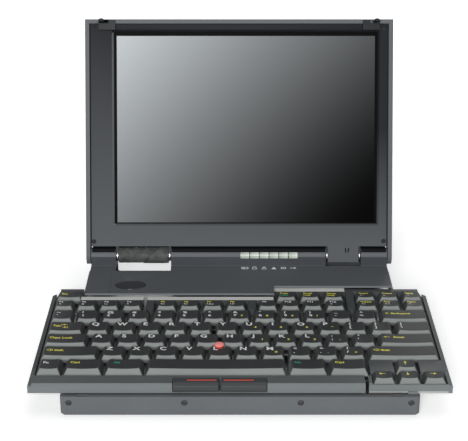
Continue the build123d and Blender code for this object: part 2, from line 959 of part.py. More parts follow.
with BuildPart() as left_plate:
    with BuildSketch(Plane.XY.offset(plate_bottom)):
        with BuildLine():
            Polyline(*left_outline, close=True)
        make_face()
        with Locations(left_end):
            Circle(drive_pin + pin_clear, mode=Mode.SUBTRACT)
    extrude(amount=plate_thick)
    guide(left_x, (split_escape - left_x) / key_pitch, upper_back - upper_depth / 2)
    guide(left_x, 1.5, row_line(3.5))
    guide(left_x, 1.75, row_line(2.5))
    guide(left_x, 2.25, row_line(1.5))
    guide(left_x + 4 * key_pitch, 5.25, row_line(0.5))
keep(left_plate, "left_plate")

with BuildPart() as right_plate:
    with BuildSketch(Plane.XY.offset(plate_bottom)):
        with BuildLine():
            Polyline(*right_outline, close=True)
        make_face()
        with Locations(right_end):
            Circle(drive_pin + pin_clear, mode=Mode.SUBTRACT)
    extrude(amount=plate_thick)
    guide(field_half - 2 * key_pitch, 2, row_line(4.5))
    guide(field_half - 2.25 * key_pitch, 2.25, row_line(2.5))
    guide(field_half - 2.75 * key_pitch, 2.75, row_line(1.5))
keep(right_plate, "right_plate")


def palm_bar(x0, x1, bottom):
    """A length of the palm strip, with its wide bevel along the front."""
    with BuildSketch(Plane(origin=(x0, 0, 0), x_dir=(0, 1, 0), z_dir=(1, 0, 0))) as profile:
        with BuildLine():
            Polyline(
                (palm_front, bottom),
                (palm_front + palm_depth, bottom),
                (palm_front + palm_depth, palm_top - 0.6),
                (palm_front + palm_depth - 0.6, palm_top),
                (palm_front + palm_bevel, palm_top),
                (palm_front, palm_top - palm_bevel),
                close=True,
            )
        make_face()
    extrude(profile.sketch, amount=x1 - x0)


def group_bar(x0, y1):
    """A bar between two groups of function keys, with its front corners cut."""
    y0 = number_back + function_space
    with BuildSketch(Plane.XY.offset(plate_top)) as outline:
        with BuildLine():
            Polyline(
                (x0, y1),
                (x0, y0 + bar_corner),
                (x0 + bar_corner, y0),
                (x0 + bar_width - bar_corner, y0),
                (x0 + bar_width, y0 + bar_corner),
                (x0 + bar_width, y1),
                close=True,
            )
        make_face()
    extrude(outline.sketch, amount=frame_top - plate_top)


# Left frame: side wall, rear bar, escape corner and the palm strip
with BuildPart() as left_frame:
    with BuildSketch(Plane.XY.offset(plate_bottom)):
        with BuildLine():
            Polyline(
                (left_edge, palm_front),
                (left_edge + side_wall, palm_front),
                (left_edge + side_wall, high_back - corner_cut + side_wall),
                (left_edge, high_back - corner_cut),
                close=True,
            )
        make_face()
    extrude(amount=side_top - plate_bottom)
    # Bars on the plate behind the function keys and the escape key
    slab(
        split_escape - split_gap - 0.01,
        split_functions - split_gap,
        function_back + 0.2,
        low_back,
        plate_top,
        frame_top,
    )
    slab(
        left_edge + corner_cut,
        split_escape - split_gap,
        upper_back + 0.2,
        high_back,
        plate_top,
        frame_top,
    )
    palm_bar(left_edge + side_wall, split_palm, plate_bottom)
    # Notch for the click buttons
    slab(
        buttons_centre - button_width - button_gap / 2 - button_clear,
        buttons_centre + button_width + button_gap / 2 + button_clear,
        palm_front - 1,
        palm_front + button_depth + button_clear,
        palm_top - button_drop - button_travel - 0.4,
        palm_top + 1,
        Mode.SUBTRACT,
    )
keep(left_frame, "left_frame")


def click_button(x0, name):
    """A rocker that wraps over the front edge of the palm strip."""
    with BuildPart() as button:
        with BuildSketch(Plane(origin=(x0, 0, 0), x_dir=(0, 1, 0), z_dir=(1, 0, 0))):
            with BuildLine():
                Polyline(
                    (palm_front - 0.3, palm_top - button_drop),
                    (palm_front + button_depth, palm_top - button_drop),
                    (palm_front + button_depth, palm_top + 0.2),
                    (palm_front + button_depth - 0.8, palm_top + 0.6),
                    (palm_front + palm_bevel, palm_top + 0.6),
                    (palm_front - 0.3, palm_top + 0.5 - palm_bevel),
                    close=True,
                )
            make_face()
        extrude(amount=button_width)
        fillet(button.edges().filter_by(Axis.Z), radius=0.6)
    keep(button, name)


click_button(buttons_centre - button_gap / 2 - button_width, "left_click_button")
click_button(buttons_centre + button_gap / 2, "right_click_button")

# Right frame: side wall, rear bars and the bars between groups of function keys
with BuildPart() as right_frame:
    with BuildSketch(Plane.XY.offset(plate_bottom)):
        with BuildLine():
            Polyline(
                (right_edge, palm_front),
                (right_edge - side_wall, palm_front),
                (right_edge - side_wall, high_back - corner_cut + side_wall),
                (right_edge, high_back - corner_cut),
                close=True,
            )
        make_face()
    extrude(amount=side_top - plate_bottom)
    slab(
        split_functions + split_gap,
        upper_left - 0.8,
        function_back + 0.2,
        low_back,
        plate_top,
        frame_top,
    )
    slab(
        upper_left - 0.8,
        right_edge - corner_cut,
        upper_back + 0.2,
        high_back,
        plate_top,
        frame_top,
    )
    for x0, y1 in (
        (split_functions + split_gap, function_back + 0.3),
        (6.6, function_back + 0.3),
        (82.6, upper_back + 0.3),
    ):
        group_bar(x0, y1)
    # Short end of the palm strip, and the low strip in front of the arrow keys
    palm_bar(split_palm + palm_gap, split_palm + palm_gap + end_piece, plate_top)
    slab(
        split_palm + palm_gap,
        right_edge - side_wall,
        palm_front,
        palm_front + front_strip,
        plate_top,
        front_strip_top,
    )
    # Plain panels on both sides of the upper arrow key
    for x0, x1 in (
        (arrow_x + fit_gap, arrow_x + arrow_pitch - fit_gap),
        (arrow_x + 2 * arrow_pitch + fit_gap, right_edge - side_wall),
    ):
        slab(
            x0,
            x1,
            row_front + arrow_shift + fit_gap,
            row_line(1) + fit_gap,
            plate_top,
            panel_top,
        )
    # Prop under the front edge
    slab(
        prop_left,
        prop_left + prop_width,
        palm_front - 0.5,
        palm_front + 3,
        base_top + 0.25,
        plate_bottom,
    )
    slab(
        prop_left,
        prop_left + prop_width,
        palm_front - 0.5,
        palm_front,
        base_top + 0.25,
        plate_top,
    )
keep(right_frame, "right_frame")

# Pointing stick: a square post on the plate and a soft domed cap pushed over it
stick = (split_home - 0.4, row_line(2) - 1.4)
with BuildPart() as pointing_stick_post:
    with BuildSketch(Plane.XY.offset(plate_top)):
        with Locations(stick):
            Rectangle(stick_post, stick_post)
    extrude(amount=post_top - plate_top)
keep(pointing_stick_post, "pointing_stick_post")

with BuildPart() as pointing_stick_cap:
    with BuildSketch(Plane.XY.offset(stick_low)):
        with Locations(stick):
            Circle(stick_radius)
    extrude(amount=stick_high - stick_low)
    chamfer(pointing_stick_cap.faces().sort_by(Axis.Z)[-1].edges(), length=1.0)
    chamfer(pointing_stick_cap.faces().sort_by(Axis.Z)[0].edges(), length=0.9)
    with BuildSketch(Plane.XY.offset(stick_low)):
        with Locations(stick):
            Rectangle(stick_post, stick_post)
    extrude(amount=post_top - stick_low, mode=Mode.SUBTRACT)
keep(pointing_stick_cap, "pointing_stick_cap")


def stick_notch(caps):
    """Cuts the round notch for the pointing stick out of the keys beside it."""
    with BuildPart() as notched:
        add(caps)
        with BuildSketch(Plane.XY.offset(skirt_z - 1)):
            with Locations(stick):
                Circle(stick_clear)
        extrude(amount=key_top_z - skirt_z + 2, mode=Mode.SUBTRACT)
    return notched.part


# Keys of the left half
key_node(
    [key_cap(left_x, split_escape, upper_back, upper_depth, right=split_gap, hollow=True)],
    "escape_key",
)
key_node(
    key_run(left_x, [pitch_f] * 4, function_back, function_depth, last=split_gap - 1.0 + 0.6),
    "left_function_keys",
)
key_node(key_run(left_x, [1] * 4, r4, row_pitch, last=split_gap), "left_number_keys")
wide_key(left_x, 1.5, 3, "tab_key")
key_node(
    key_run(left_x + 1.5 * key_pitch, [1] * 5, r3, row_pitch, last=split_gap),
    "left_upper_letters",
)
wide_key(left_x, 1.75, 2, "caps_lock_key")
home = key_run(left_x + 1.75 * key_pitch, [1] * 5, r2, row_pitch, last=split_gap)
key_node(home[:-1] + [stick_notch([home[-1]])], "left_home_letters")
wide_key(left_x, 2.25, 1, "left_shift_key")
lower = key_run(left_x + 2.25 * key_pitch, [1] * 7, r1, row_pitch, last=split_gap)
key_node(
    lower[:4] + [stick_notch([lower[4]])] + lower[5:], "left_lower_letters"
)
key_node(key_run(left_x, [1, 1.5, 1.5], r0, row_pitch), "left_bottom_keys")
wide_key(left_x + 4 * key_pitch, 5.25, 0, "space_bar", right=split_gap)

# Keys of the right half
f5 = split_functions + split_gap + bar_width + 0.4
f9 = 6.6 + bar_width + 0.4
f13 = 82.6 + bar_width + 0.4
key_node(
    key_run(f5, [(6.6 - 0.4 - f5) / 4 / key_pitch] * 4, function_back, function_depth)
    + key_run(f9, [(82.2 - f9) / 4 / key_pitch] * 4, function_back, function_depth),
    "right_function_keys",
)
key_node(
    key_run(f13, [(field_half - f13) / 3 / key_pitch] * 3, function_back, function_depth)
    + key_run(f13, [(field_half - f13) / 3 / key_pitch] * 3, upper_back, upper_depth)
    + key_run(
        upper_left, [(82.2 - upper_left) / 3 / key_pitch] * 3, upper_back, upper_depth
    ),
    "navigation_keys",
)
key_node(
    key_run(split_numbers, [1] * 9, r4, row_pitch, first=split_gap), "right_number_keys"
)
wide_key(field_half - 2 * key_pitch, 2, 4, "backspace_key")
key_node(
    key_run(split_letters, [1] * 7 + [1.5], r3, row_pitch, first=split_gap),
    "right_upper_letters",
)
home = key_run(split_home, [1] * 6, r2, row_pitch, first=split_gap)
key_node([stick_notch([home[0]])] + home[1:], "right_home_letters")
wide_key(field_half - 2.25 * key_pitch, 2.25, 2, "enter_key")
key_node(
    key_run(split_low, [1] * 3, r1, row_pitch, first=split_gap), "right_lower_letters"
)
wide_key(field_half - 2.75 * key_pitch, 2.75, 1, "right_shift_key")
key_node(
    key_run(split_low, [1.5, 1.5], r0, row_pitch, first=split_gap), "right_bottom_keys"
)
key_node(
    key_run(arrow_x, [2.75 / 3] * 3, row_front + arrow_shift, arrow_depth)
    + key_run(
        arrow_x + arrow_pitch, [2.75 / 3], row_front + arrow_shift + arrow_depth, arrow_depth
    ),
    "arrow_keys",
)

for part, name in pieces:
    export_step(part, f"parts/{name}.step")
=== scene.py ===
import json
from math import cos, pi, radians, sin

import bmesh
import bpy
import numpy as np
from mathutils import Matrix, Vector


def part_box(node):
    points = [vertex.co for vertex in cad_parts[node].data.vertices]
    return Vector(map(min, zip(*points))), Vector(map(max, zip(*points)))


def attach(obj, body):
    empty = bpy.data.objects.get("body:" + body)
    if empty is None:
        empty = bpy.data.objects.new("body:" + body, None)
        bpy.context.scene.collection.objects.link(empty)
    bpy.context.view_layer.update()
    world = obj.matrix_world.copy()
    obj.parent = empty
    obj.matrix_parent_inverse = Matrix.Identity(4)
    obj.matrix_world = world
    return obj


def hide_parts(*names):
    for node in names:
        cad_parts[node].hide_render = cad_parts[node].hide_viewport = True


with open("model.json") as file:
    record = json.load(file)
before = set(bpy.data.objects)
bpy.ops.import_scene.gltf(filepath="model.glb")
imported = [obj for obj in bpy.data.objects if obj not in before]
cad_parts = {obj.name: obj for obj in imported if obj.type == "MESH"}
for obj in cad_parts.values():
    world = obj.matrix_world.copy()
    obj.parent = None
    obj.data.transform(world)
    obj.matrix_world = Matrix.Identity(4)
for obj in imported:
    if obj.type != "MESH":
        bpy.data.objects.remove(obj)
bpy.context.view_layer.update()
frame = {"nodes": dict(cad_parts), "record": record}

# Studio: a white table top that runs out of sight, soft lamps in front of, above and behind
# the laptop, and an even pale room. The camera looks down on it from the front.
scene = bpy.context.scene
scene.view_settings.view_transform = "Standard"
camera = bpy.data.objects.new("camera", bpy.data.cameras.new("camera"))
camera.data.lens = 98.77
camera.data.sensor_width = 36.0
camera.data.clip_start = 0.01
camera.location = (-0.0041, -0.8888, 0.476)
camera.rotation_euler = (radians(66.54), 0.0, 0.0)
scene.collection.objects.link(camera)
scene.camera = camera


class Wire:
    """One value among nodes. Arithmetic on it adds the Math node that works it out."""

    def __init__(self, owner, socket):
        self.owner = owner
        self.socket = socket

    def worked_out(self, operation, first, second):
        return self.owner.node(
            "ShaderNodeMath", {"operation": operation}, {0: first, 1: second}
        )

    def __add__(self, other):
        return self.worked_out("ADD", self, other)

    def __radd__(self, other):
        return self.worked_out("ADD", other, self)

    def __sub__(self, other):
        return self.worked_out("SUBTRACT", self, other)

    def __rsub__(self, other):
        return self.worked_out("SUBTRACT", other, self)

    def __mul__(self, other):
        return self.worked_out("MULTIPLY", self, other)

    def __rmul__(self, other):
        return self.worked_out("MULTIPLY", other, self)

    def __truediv__(self, other):
        return self.worked_out("DIVIDE", self, other)

    def __pow__(self, other):
        return self.worked_out("POWER", self, other)

    def over(self, limit):
        """1 where this value is over the limit, and 0 elsewhere."""
        return self.worked_out("GREATER_THAN", self, limit)

    def beside(self, name):
        """Another output of the node that this value comes from."""
        return Wire(self.owner, self.socket.node.outputs[name])


class Nodes:
    """The nodes of a material or of the room."""

    def __init__(self, tree):
        self.tree = tree

    def node(self, kind, settings=None, inputs=None, output=0):
        """Adds a node: its settings first, then the values or wires of its sockets."""
        made = self.tree.nodes.new(kind)
        for key, value in (settings or {}).items():
            setattr(made, key, value)
        for key, value in (inputs or {}).items():
            self.join(value, made.inputs[key])
        return Wire(self, made.outputs[output])

    def join(self, value, socket):
        if isinstance(value, Wire):
            self.tree.links.new(value.socket, socket)
        else:
            socket.default_value = value


class Finish(Nodes):
    """One material. Constants go on its shader's own sockets; feed() joins anything else."""

    def __init__(self, name, constants=None):
        self.material = bpy.data.materials.new(name)
        self.material.use_nodes = True
        super().__init__(self.material.node_tree)
        self.shader = self.tree.nodes["Principled BSDF"]
        for key, value in (constants or {}).items():
            self.shader.inputs[key].default_value = value

    def feed(self, name, value):
        self.join(value, self.shader.inputs[name])

    def place(self):
        """The point's own place on the object, in metres."""
        return self.node("ShaderNodeTexCoord", output=3)

    def place_parts(self):
        """The x, y and z of the point's own place, as three wires."""
        x = self.node("ShaderNodeSeparateXYZ", inputs={0: self.place()})
        return x, x.beside("Y"), x.beside("Z")

    def clamped(self, value):
        """A value held between 0 and 1."""
        return self.node("ShaderNodeClamp", inputs={0: value})

    def mixed(self, share, first, second):
        """A colour between two colours."""
        return self.node(
            "ShaderNodeMix",
            {"data_type": "RGBA"},
            {0: share, 6: (*first, 1.0) if isinstance(first, tuple) else first,
             7: (*second, 1.0) if isinstance(second, tuple) else second},
            output=2,
        )

    def noise(self, scale, detail=2.0, place=None):
        """Soft noise between 0 and 1, with about scale patches to a metre."""
        return self.node(
            "ShaderNodeTexNoise",
            inputs={"Vector": place or self.place(), "Scale": scale, "Detail": detail},
        )

    def bumped(self, height, distance, strength=0.4):
        """Relief too fine to model: a height from 0 to 1 over a distance in metres."""
        self.feed(
            "Normal",
            self.node(
                "ShaderNodeBump",
                inputs={"Strength": strength, "Distance": distance, "Height": height},
            ),
        )


# The table top shows itself white to the camera and in mirrors, dimmer close to the laptop.
table_half, dim_reach, dim_white = 6, 0.16, 0.42
table_top = bpy.data.objects.new("table_top", bpy.data.meshes.new("table_top"))
table_top.data.from_pydata(
    [(x * table_half, y * table_half, 0) for x, y in ((-1, -1), (1, -1), (1, 1), (-1, 1))],
    [], [(0, 1, 2, 3)])
scene.collection.objects.link(table_top)
white_table = Finish("white_table", {
    "Roughness": 0.9, "Specular IOR Level": 0.0, "Base Color": (0.93, 0.93, 0.935, 1.0),
    "Emission Strength": 1.0})
seen = white_table.node("ShaderNodeLightPath")
distance = white_table.node(
    "ShaderNodeVectorMath", {"operation": "LENGTH"}, {0: white_table.place()}, output=1)
far = white_table.clamped((distance - dim_reach) * 1.6)
white_table.feed("Emission Color", white_table.mixed(
    (seen + seen.beside("Is Glossy Ray") + seen.beside("Is Transmission Ray"))
    * (far * (1 - dim_white) + dim_white), (0.0, 0.0, 0.0), (1.0, 1.0, 1.0)))
table_top.data.materials.append(white_table.material)

# The room is white where the camera sees it, straight or through clear parts, and pale elsewhere.
room = bpy.data.worlds.new("room")
room.use_nodes = True
scene.world = room
walls = Nodes(room.node_tree)
seen = walls.node("ShaderNodeLightPath")
shown = walls.node("ShaderNodeMath", {"operation": "MAXIMUM"},
                   {0: seen, 1: seen.beside("Is Transmission Ray")})
white = walls.node("ShaderNodeBackground", inputs={"Color": (1.0, 1.0, 1.0, 1.0)})
pale = walls.node("ShaderNodeBackground", inputs={"Color": (0.15, 0.153, 0.157, 1.0)})
both = walls.node("ShaderNodeMixShader", inputs={0: shown, 1: pale, 2: white})
walls.join(both, walls.tree.nodes["World Output"].inputs["Surface"])

# Each lamp: its name, where it stands, what it is aimed at, its side in metres and its watts.
for name, place, aim, size, watts in (
    ("front_lamp", (-0.3, -2.1, 0.95), (0.0, -0.02, 0.06), 0.8, 38.0),
    ("top_panel", (0.1, 0.1, 1.9), (0.0, 0.0, 0.0), 1.4, 6.0),
    ("rear_lamp", (0.3, 1.9, 0.9), (0.0, 0.0, 0.05), 1.2, 12.0),
):
    lamp = bpy.data.objects.new(name, bpy.data.lights.new(name, "AREA"))
    lamp.data.energy = watts
    lamp.data.size = size
    lamp.location = place
    lamp.rotation_euler = (Vector(aim) - Vector(place)).to_track_quat("-Z", "Y").to_euler()
    scene.collection.objects.link(lamp)

# Base: the lower case is one grey-black moulding with a fine even grain, with its corners
# and edges softly rounded. Four rubber feet and four small cap screws are fixed into it.
nodes = frame["nodes"]
body_of = {
    node: body
    for body, members in frame["record"]["behaviour"]["bodies"].items()
    for node in members
}


def moulded_plastic(name, colour, roughness=0.52, grain=0.00004, shine=0.18):
    """Grained moulded plastic: fine bump from small noise, and a faint cloud in tone and shine."""
    finish = Finish(name, {"Specular IOR Level": shine})
    cloud = finish.noise(17.0, 3.0)
    speck = finish.noise(900.0, 2.0)
    share = cloud * 0.7 + speck * 0.3
    finish.feed(
        "Base Color",
        finish.mixed(share, tuple(c * 0.78 for c in colour), tuple(c * 1.22 for c in colour)),
    )
    finish.feed("Roughness", cloud * 0.16 + (roughness - 0.08))
    finish.bumped(finish.noise(1500.0, 1.0) * 0.7 + speck * 0.3, grain)
    return finish.material


def dress(node, material):
    """Gives a CAD node that stays in view its finish."""
    nodes[node].data.materials.clear()
    nodes[node].data.materials.append(material)


def rounded_copy(node, material, edge=0.3, crease=32.0):
    """A copy of a CAD node's mesh, merged, its flat faces rejoined and its edges rounded."""
    mesh = nodes[node].data.copy()
    work = bmesh.new()
    work.from_mesh(mesh)
    bmesh.ops.remove_doubles(work, verts=work.verts, dist=1e-6)
    bmesh.ops.dissolve_limit(
        work, angle_limit=radians(0.3), verts=work.verts, edges=work.edges
    )
    work.to_mesh(mesh)
    work.free()
    mesh.materials.clear()
    mesh.materials.append(material)
    mesh.shade_smooth()
    mesh.set_sharp_from_angle(angle=radians(crease))
    piece = bpy.data.objects.new(node + "_moulding", mesh)
    scene.collection.objects.link(piece)
    if edge:
        bevel = piece.modifiers.new("edges", "BEVEL")
        bevel.width = edge * 0.001
        bevel.segments = 2
        bevel.limit_method = "ANGLE"
        bevel.angle_limit = radians(crease)
        bevel.harden_normals = True
    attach(piece, body_of[node])
    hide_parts(node)
    return piece


def solid_piece(name, points, faces, material, body, slot, smooth=True, crease=40.0):
    """A new piece from arrays of points in metres and faces, on a body."""
    mesh = bpy.data.meshes.new(name)
    mesh.from_pydata(np.asarray(points).tolist(), [], [list(map(int, f)) for f in faces])
    mesh.update()
    if smooth:
        mesh.shade_smooth()
        mesh.set_sharp_from_angle(angle=radians(crease))
    mesh.materials.append(material)
    piece = bpy.data.objects.new(name, mesh)
    scene.collection.objects.link(piece)
    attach(piece, body)
    return piece


def ring_faces(rows, count):
    """Faces between rows of count points each, and one face over each end."""
    a = np.arange(rows - 1)[:, None] * count + np.arange(count)
    b = np.arange(rows - 1)[:, None] * count + (np.arange(count) + 1) % count
    faces = np.stack([a, b, b + count, a + count], axis=-1).reshape(-1, 4).tolist()
    faces.append(list(range(count))[::-1])
    faces.append(list(range((rows - 1) * count, rows * count)))
    return faces


def turned(profile, centre, axis_z, axis_x, count):
    """A profile of (radius, height) points turned round an axis through centre: each ring is
    centre + radius * (cos t * x + sin t * y) + height * z."""
    z = np.asarray(axis_z, float)
    x = np.asarray(axis_x, float)
    y = np.cross(z, x)
    turn = np.linspace(0, 2 * pi, count, endpoint=False)
    ring = np.cos(turn)[:, None] * x + np.sin(turn)[:, None] * y
    radius = np.array([p[0] for p in profile])
    height = np.array([p[1] for p in profile])
    points = (
        np.asarray(centre) + radius[:, None, None] * ring + height[:, None, None] * z
    ).reshape(-1, 3)
    return points, ring_faces(len(profile), count)


def gathered(pieces):
    """Several (points, faces) pairs as one pair."""
    points, faces, start = [], [], 0
    for p, f in pieces:
        points.append(np.asarray(p))
        faces += [[i + start for i in face] for face in f]
        start += len(p)
    return np.concatenate(points), faces


def solids_of(node):
    """The points of each solid in a CAD node, from the front row back and from left to right."""
    row_depth, fewest_points = 0.004, 8
    mesh = nodes[node].data
    points = np.empty(len(mesh.vertices) * 3)
    mesh.vertices.foreach_get("co", points)
    points, same = np.unique(np.round(points.reshape(-1, 3), 6), axis=0, return_inverse=True)
    corners = np.empty(len(mesh.loops), dtype=int)
    mesh.loops.foreach_get("vertex_index", corners)
    triangles = same.reshape(-1)[corners].reshape(-1, 3)
    label = np.arange(len(points))
    while True:
        lowest = label[triangles].min(axis=1)
        new = label.copy()
        np.minimum.at(new, triangles.ravel(), np.repeat(lowest, 3))
        if (new == label).all():
            break
        label = new
    groups = [points[label == k] for k in np.unique(label)]
    groups = [g for g in groups if len(g) >= fewest_points]
    return sorted(groups, key=lambda g: (round(g[:, 1].min() / row_depth), g[:, 0].min()))


case_plastic = moulded_plastic("case_plastic", (0.135, 0.143, 0.15), 0.5)
rounded_copy("bottom_case", case_plastic, 0.35)
rubber = moulded_plastic("foot_rubber", (0.03, 0.03, 0.032), 0.75, 0.00008, 0.2)
rounded_copy("rubber_feet", rubber, 0.4)

screw_steel = Finish("screw_black", {"Metallic": 0.75, "Specular IOR Level": 0.4})
screw_steel.feed("Base Color", screw_steel.mixed(
    screw_steel.noise(900.0), (0.05, 0.05, 0.055), (0.11, 0.11, 0.12)))
screw_steel.feed("Roughness", screw_steel.noise(500.0) * 0.2 + 0.3)
head_sunk = 0.0006
head_profile = [(0.0019, 0.0), (0.0019, 0.0005), (0.0016, 0.0008), (0.0009, 0.0008),
                (0.0008, 0.0002), (0.0001, 0.0001)]
heads = []
for group in solids_of("front_screws"):
    centre = (group.min(axis=0) + group.max(axis=0)) / 2
    centre[1] = group[:, 1].min() + head_sunk
    heads.append(turned(head_profile, centre, (0, -1, 0), (1, 0, 0), 24))
front_heads = solid_piece(
    "front_screw_heads", *gathered(heads), screw_steel.material, "base", None)
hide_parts("front_screws")

# Inside the base: battery, disk drive, card cage, circuit board, connectors and the steel
# tray that carries the keyboard drive. They sit on the case floor or on posts.
rounded_copy("battery_pack", moulded_plastic("battery_plastic", (0.07, 0.072, 0.078), 0.55), 0.4)


def brushed_metal(name, colour, roughness=0.35, along=(40.0, 900.0, 900.0)):
    """Rolled sheet metal: fine lines along x from stretched noise, and faint clouds."""
    finish = Finish(name, {"Metallic": 1.0})
    stretched = finish.node(
        "ShaderNodeMapping", inputs={"Vector": finish.place(), "Scale": along}
    )
    lines = finish.noise(1.0, 3.0, stretched)
    finish.feed("Base Color", finish.mixed(
        lines, tuple(c * 0.75 for c in colour), tuple(min(1, c * 1.2) for c in colour)))
    finish.feed("Roughness", lines * 0.2 + (roughness - 0.1) + finish.noise(25.0) * 0.06)
    finish.bumped(lines, 0.00001, 0.2)
    return finish.material


sheet = brushed_metal("zinc_sheet", (0.46, 0.46, 0.45), 0.42)
for node in ("keyboard_tray", "left_plate", "right_plate", "card_cage"):
    dress(node, sheet)
dress("hard_drive", brushed_metal("drive_cover", (0.55, 0.55, 0.54), 0.36, (300.0, 60.0, 300.0)))
drive_steel = brushed_metal("drive_steel", (0.5, 0.5, 0.5), 0.3)
for side in ("left", "right"):
    for part in ("carriage", "crank", "link"):
        rounded_copy(f"{side}_{part}", drive_steel, 0.0)

board = Finish("board_green", {"Roughness": 0.45, "Specular IOR Level": 0.5})
tracks = board.node(
    "ShaderNodeTexBrick",
    {"offset": 0.5, "squash": 1.0},
    {"Vector": board.place(), "Scale": 260.0, "Mortar Size": 0.12, "Mortar Smooth": 0.1,
     "Color1": (0.01, 0.07, 0.03, 1), "Color2": (0.012, 0.09, 0.04, 1),
     "Mortar": (0.05, 0.2, 0.07, 1)},
)
board.feed("Base Color", tracks)
for node in ("mainboard", "inverter_board"):
    dress(node, board.material)
rounded_copy("port_block", brushed_metal("port_shell", (0.6, 0.6, 0.58), 0.3), 0.25)
rounded_copy("power_slider", moulded_plastic("slider_plastic", (0.05, 0.052, 0.056)), 0.2)

# Rear deck: the fixed shelf behind the keyboard with its round ridge along the hinge axis,
# moulded in the case's plastic, with a painted highlight along its front edge and on the ridge's
# crest, and painted shade on the rise before the ridge.
# A bare oval, a lens strip and six small printed signs sit on it.
front_edge, step_at, step_back = 0.00125, 0.0271, 0.013
ridge_crest, wall_foot, wall_front = 0.0352, 0.0285, 0.04
deck_plastic = Finish("deck_plastic", {"Specular IOR Level": 0.18})
across, back, up = deck_plastic.place_parts()
deck_speck = deck_plastic.noise(900.0, 2.0) * 0.35 + deck_plastic.noise(17.0, 3.0) * 0.65
crest_share = deck_plastic.clamped((up - ridge_crest) * 2500.0)
behind_edge_highlight = back.over(front_edge + across.over(step_at) * step_back)
deck_tone = deck_plastic.mixed(deck_speck, (0.080, 0.086, 0.095), (0.125, 0.133, 0.145))
# Painted highlight on the ridge's crest, and painted shade on the rise before the ridge.
crest_painted_highlight = deck_plastic.mixed(deck_speck, (0.115, 0.122, 0.132), (0.145, 0.153, 0.165))
rise_painted_shade = deck_plastic.mixed(deck_speck, (0.046, 0.050, 0.057), (0.075, 0.081, 0.091))
deck_tone = deck_plastic.mixed(up.over(wall_foot) * back.over(wall_front), deck_tone, rise_painted_shade)
deck_tone = deck_plastic.mixed(crest_share, deck_tone, crest_painted_highlight)
# Painted highlight: the pale band along the deck's front edge.
deck_plastic.feed("Base Color", deck_plastic.mixed(behind_edge_highlight, (0.20, 0.21, 0.222), deck_tone))
deck_plastic.feed("Roughness", deck_speck * 0.16 + 0.42)
deck_plastic.bumped(deck_plastic.noise(1500.0, 1.0), 0.00004)
rounded_copy("rear_deck", deck_plastic.material, 0.3, 25.0)

gloss = Finish("badge_gloss", {"Roughness": 0.16, "Specular IOR Level": 0.5, "Coat Weight": 0.6})
gloss.feed("Base Color", gloss.mixed(
    gloss.noise(60.0, 3.0), (0.016, 0.018, 0.02), (0.04, 0.043, 0.047)))
low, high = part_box("oval_plate")
middle = [(a + b) / 2 for a, b in zip(low, high)]
half_x = (high[0] - low[0]) / 2
half_y = (high[1] - low[1]) / 2
levels = [(1.0, low[2]), (1.0, high[2] - 0.0003), (0.985, high[2] - 0.0001), (0.95, high[2]),
          (0.93, high[2] - 0.00012), (0.6, high[2] - 0.0001), (0.3, high[2] - 0.00008)]
oval_count = 72
turn = np.linspace(0, 2 * pi, oval_count, endpoint=False)
oval_points = np.concatenate([
    np.stack([middle[0] + half_x * s * np.cos(turn), middle[1] + half_y * s * np.sin(turn),
              np.full(oval_count, z)], axis=1) for s, z in levels])
oval = solid_piece("bare_oval", oval_points, ring_faces(len(levels), oval_count),
                   gloss.material, "base", None)
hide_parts("oval_plate")

facets, line_start = 6, 0.44
lens = Finish("lens_strip", {"Roughness": 0.28, "Specular IOR Level": 0.5})
across, _, _ = lens.place_parts()
low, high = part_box("indicator_window")
part_width = (high[0] - low[0]) / facets
beat = lens.node("ShaderNodeMath", {"operation": "FRACT"},
                 {0: (across - low[0]) / part_width})
off_middle = lens.node("ShaderNodeMath", {"operation": "ABSOLUTE"}, {0: beat - 0.5})
cloudy = lens.noise(160.0, 3.0) * 0.5 + beat * 0.5
lens.feed("Base Color", lens.mixed(
    off_middle.over(line_start),
    lens.mixed(cloudy, (0.25, 0.31, 0.26), (0.74, 0.80, 0.70)), (0.1, 0.12, 0.1)))
rounded_copy("indicator_window", lens.material, 0.12, 35.0)


def flat_shape(corners, place, thickness=0.00003):
    """A flat printed shape: a polygon of (x, y) in mm about place, lying on the surface."""
    points = np.array([(x * 0.001, y * 0.001, 0.0) for x, y in corners]) + np.asarray(place)
    return points + np.array([0, 0, thickness]), [list(range(len(corners)))]


def bar(x0, y0, x1, y1):
    """The four corners of a rectangle."""
    return [(x0, y0), (x1, y0), (x1, y1), (x0, y1)]


def frame_of(x0, y0, x1, y1, t):
    """The four thin bars of an empty box."""
    return [bar(x0, y0, x1, y0 + t), bar(x0, y1 - t, x1, y1),
            bar(x0, y0 + t, x0 + t, y1 - t), bar(x1 - t, y0 + t, x1, y1 - t)]


def printed_ink(name, colour):
    """Printed ink: almost even, worn a little by fine noise."""
    finish = Finish(name, {"Specular IOR Level": 0.3})
    worn = finish.noise(700.0, 2.0)
    finish.feed("Base Color", finish.mixed(worn, tuple(c * 0.86 for c in colour), colour))
    finish.feed("Roughness", worn * 0.2 + 0.45)
    return finish.material


ink = {
    "white": printed_ink("ink_white", (0.92, 0.93, 0.92)),
    "yellow": printed_ink("ink_yellow", (0.92, 0.86, 0.10)),
    "green": printed_ink("ink_green", (0.03, 0.42, 0.22)),
}
sign_thick = 0.35
signs = [
    frame_of(-1.8, -1.1, 1.5, 1.1, sign_thick)
    + [bar(1.5, -0.5, 2.1, 0.5), bar(-1.2, -0.5, 0.3, 0.5)],
    frame_of(-1.3, -1.3, 1.3, 0.4, sign_thick)
    + [bar(-0.9, 0.4, -0.55, 1.4), bar(0.55, 0.4, 0.9, 1.4), bar(-0.9, 1.3, 0.9, 1.6)],
    frame_of(-1.2, -1.3, 1.2, 0.3, sign_thick) + [bar(-0.6, 0.3, 0.6, 1.3)],
    [[(-1.4, -1.2), (1.4, -1.2), (0.0, 1.4)]],
    frame_of(-1.4, -0.9, 1.4, 0.9, 0.4) + [bar(-0.3, -0.3, 0.3, 0.3)],
    [bar(-1.7, -0.25, 0.4, 0.25), [(0.4, -1.0), (1.8, 0.0), (0.4, 1.0)]],
]
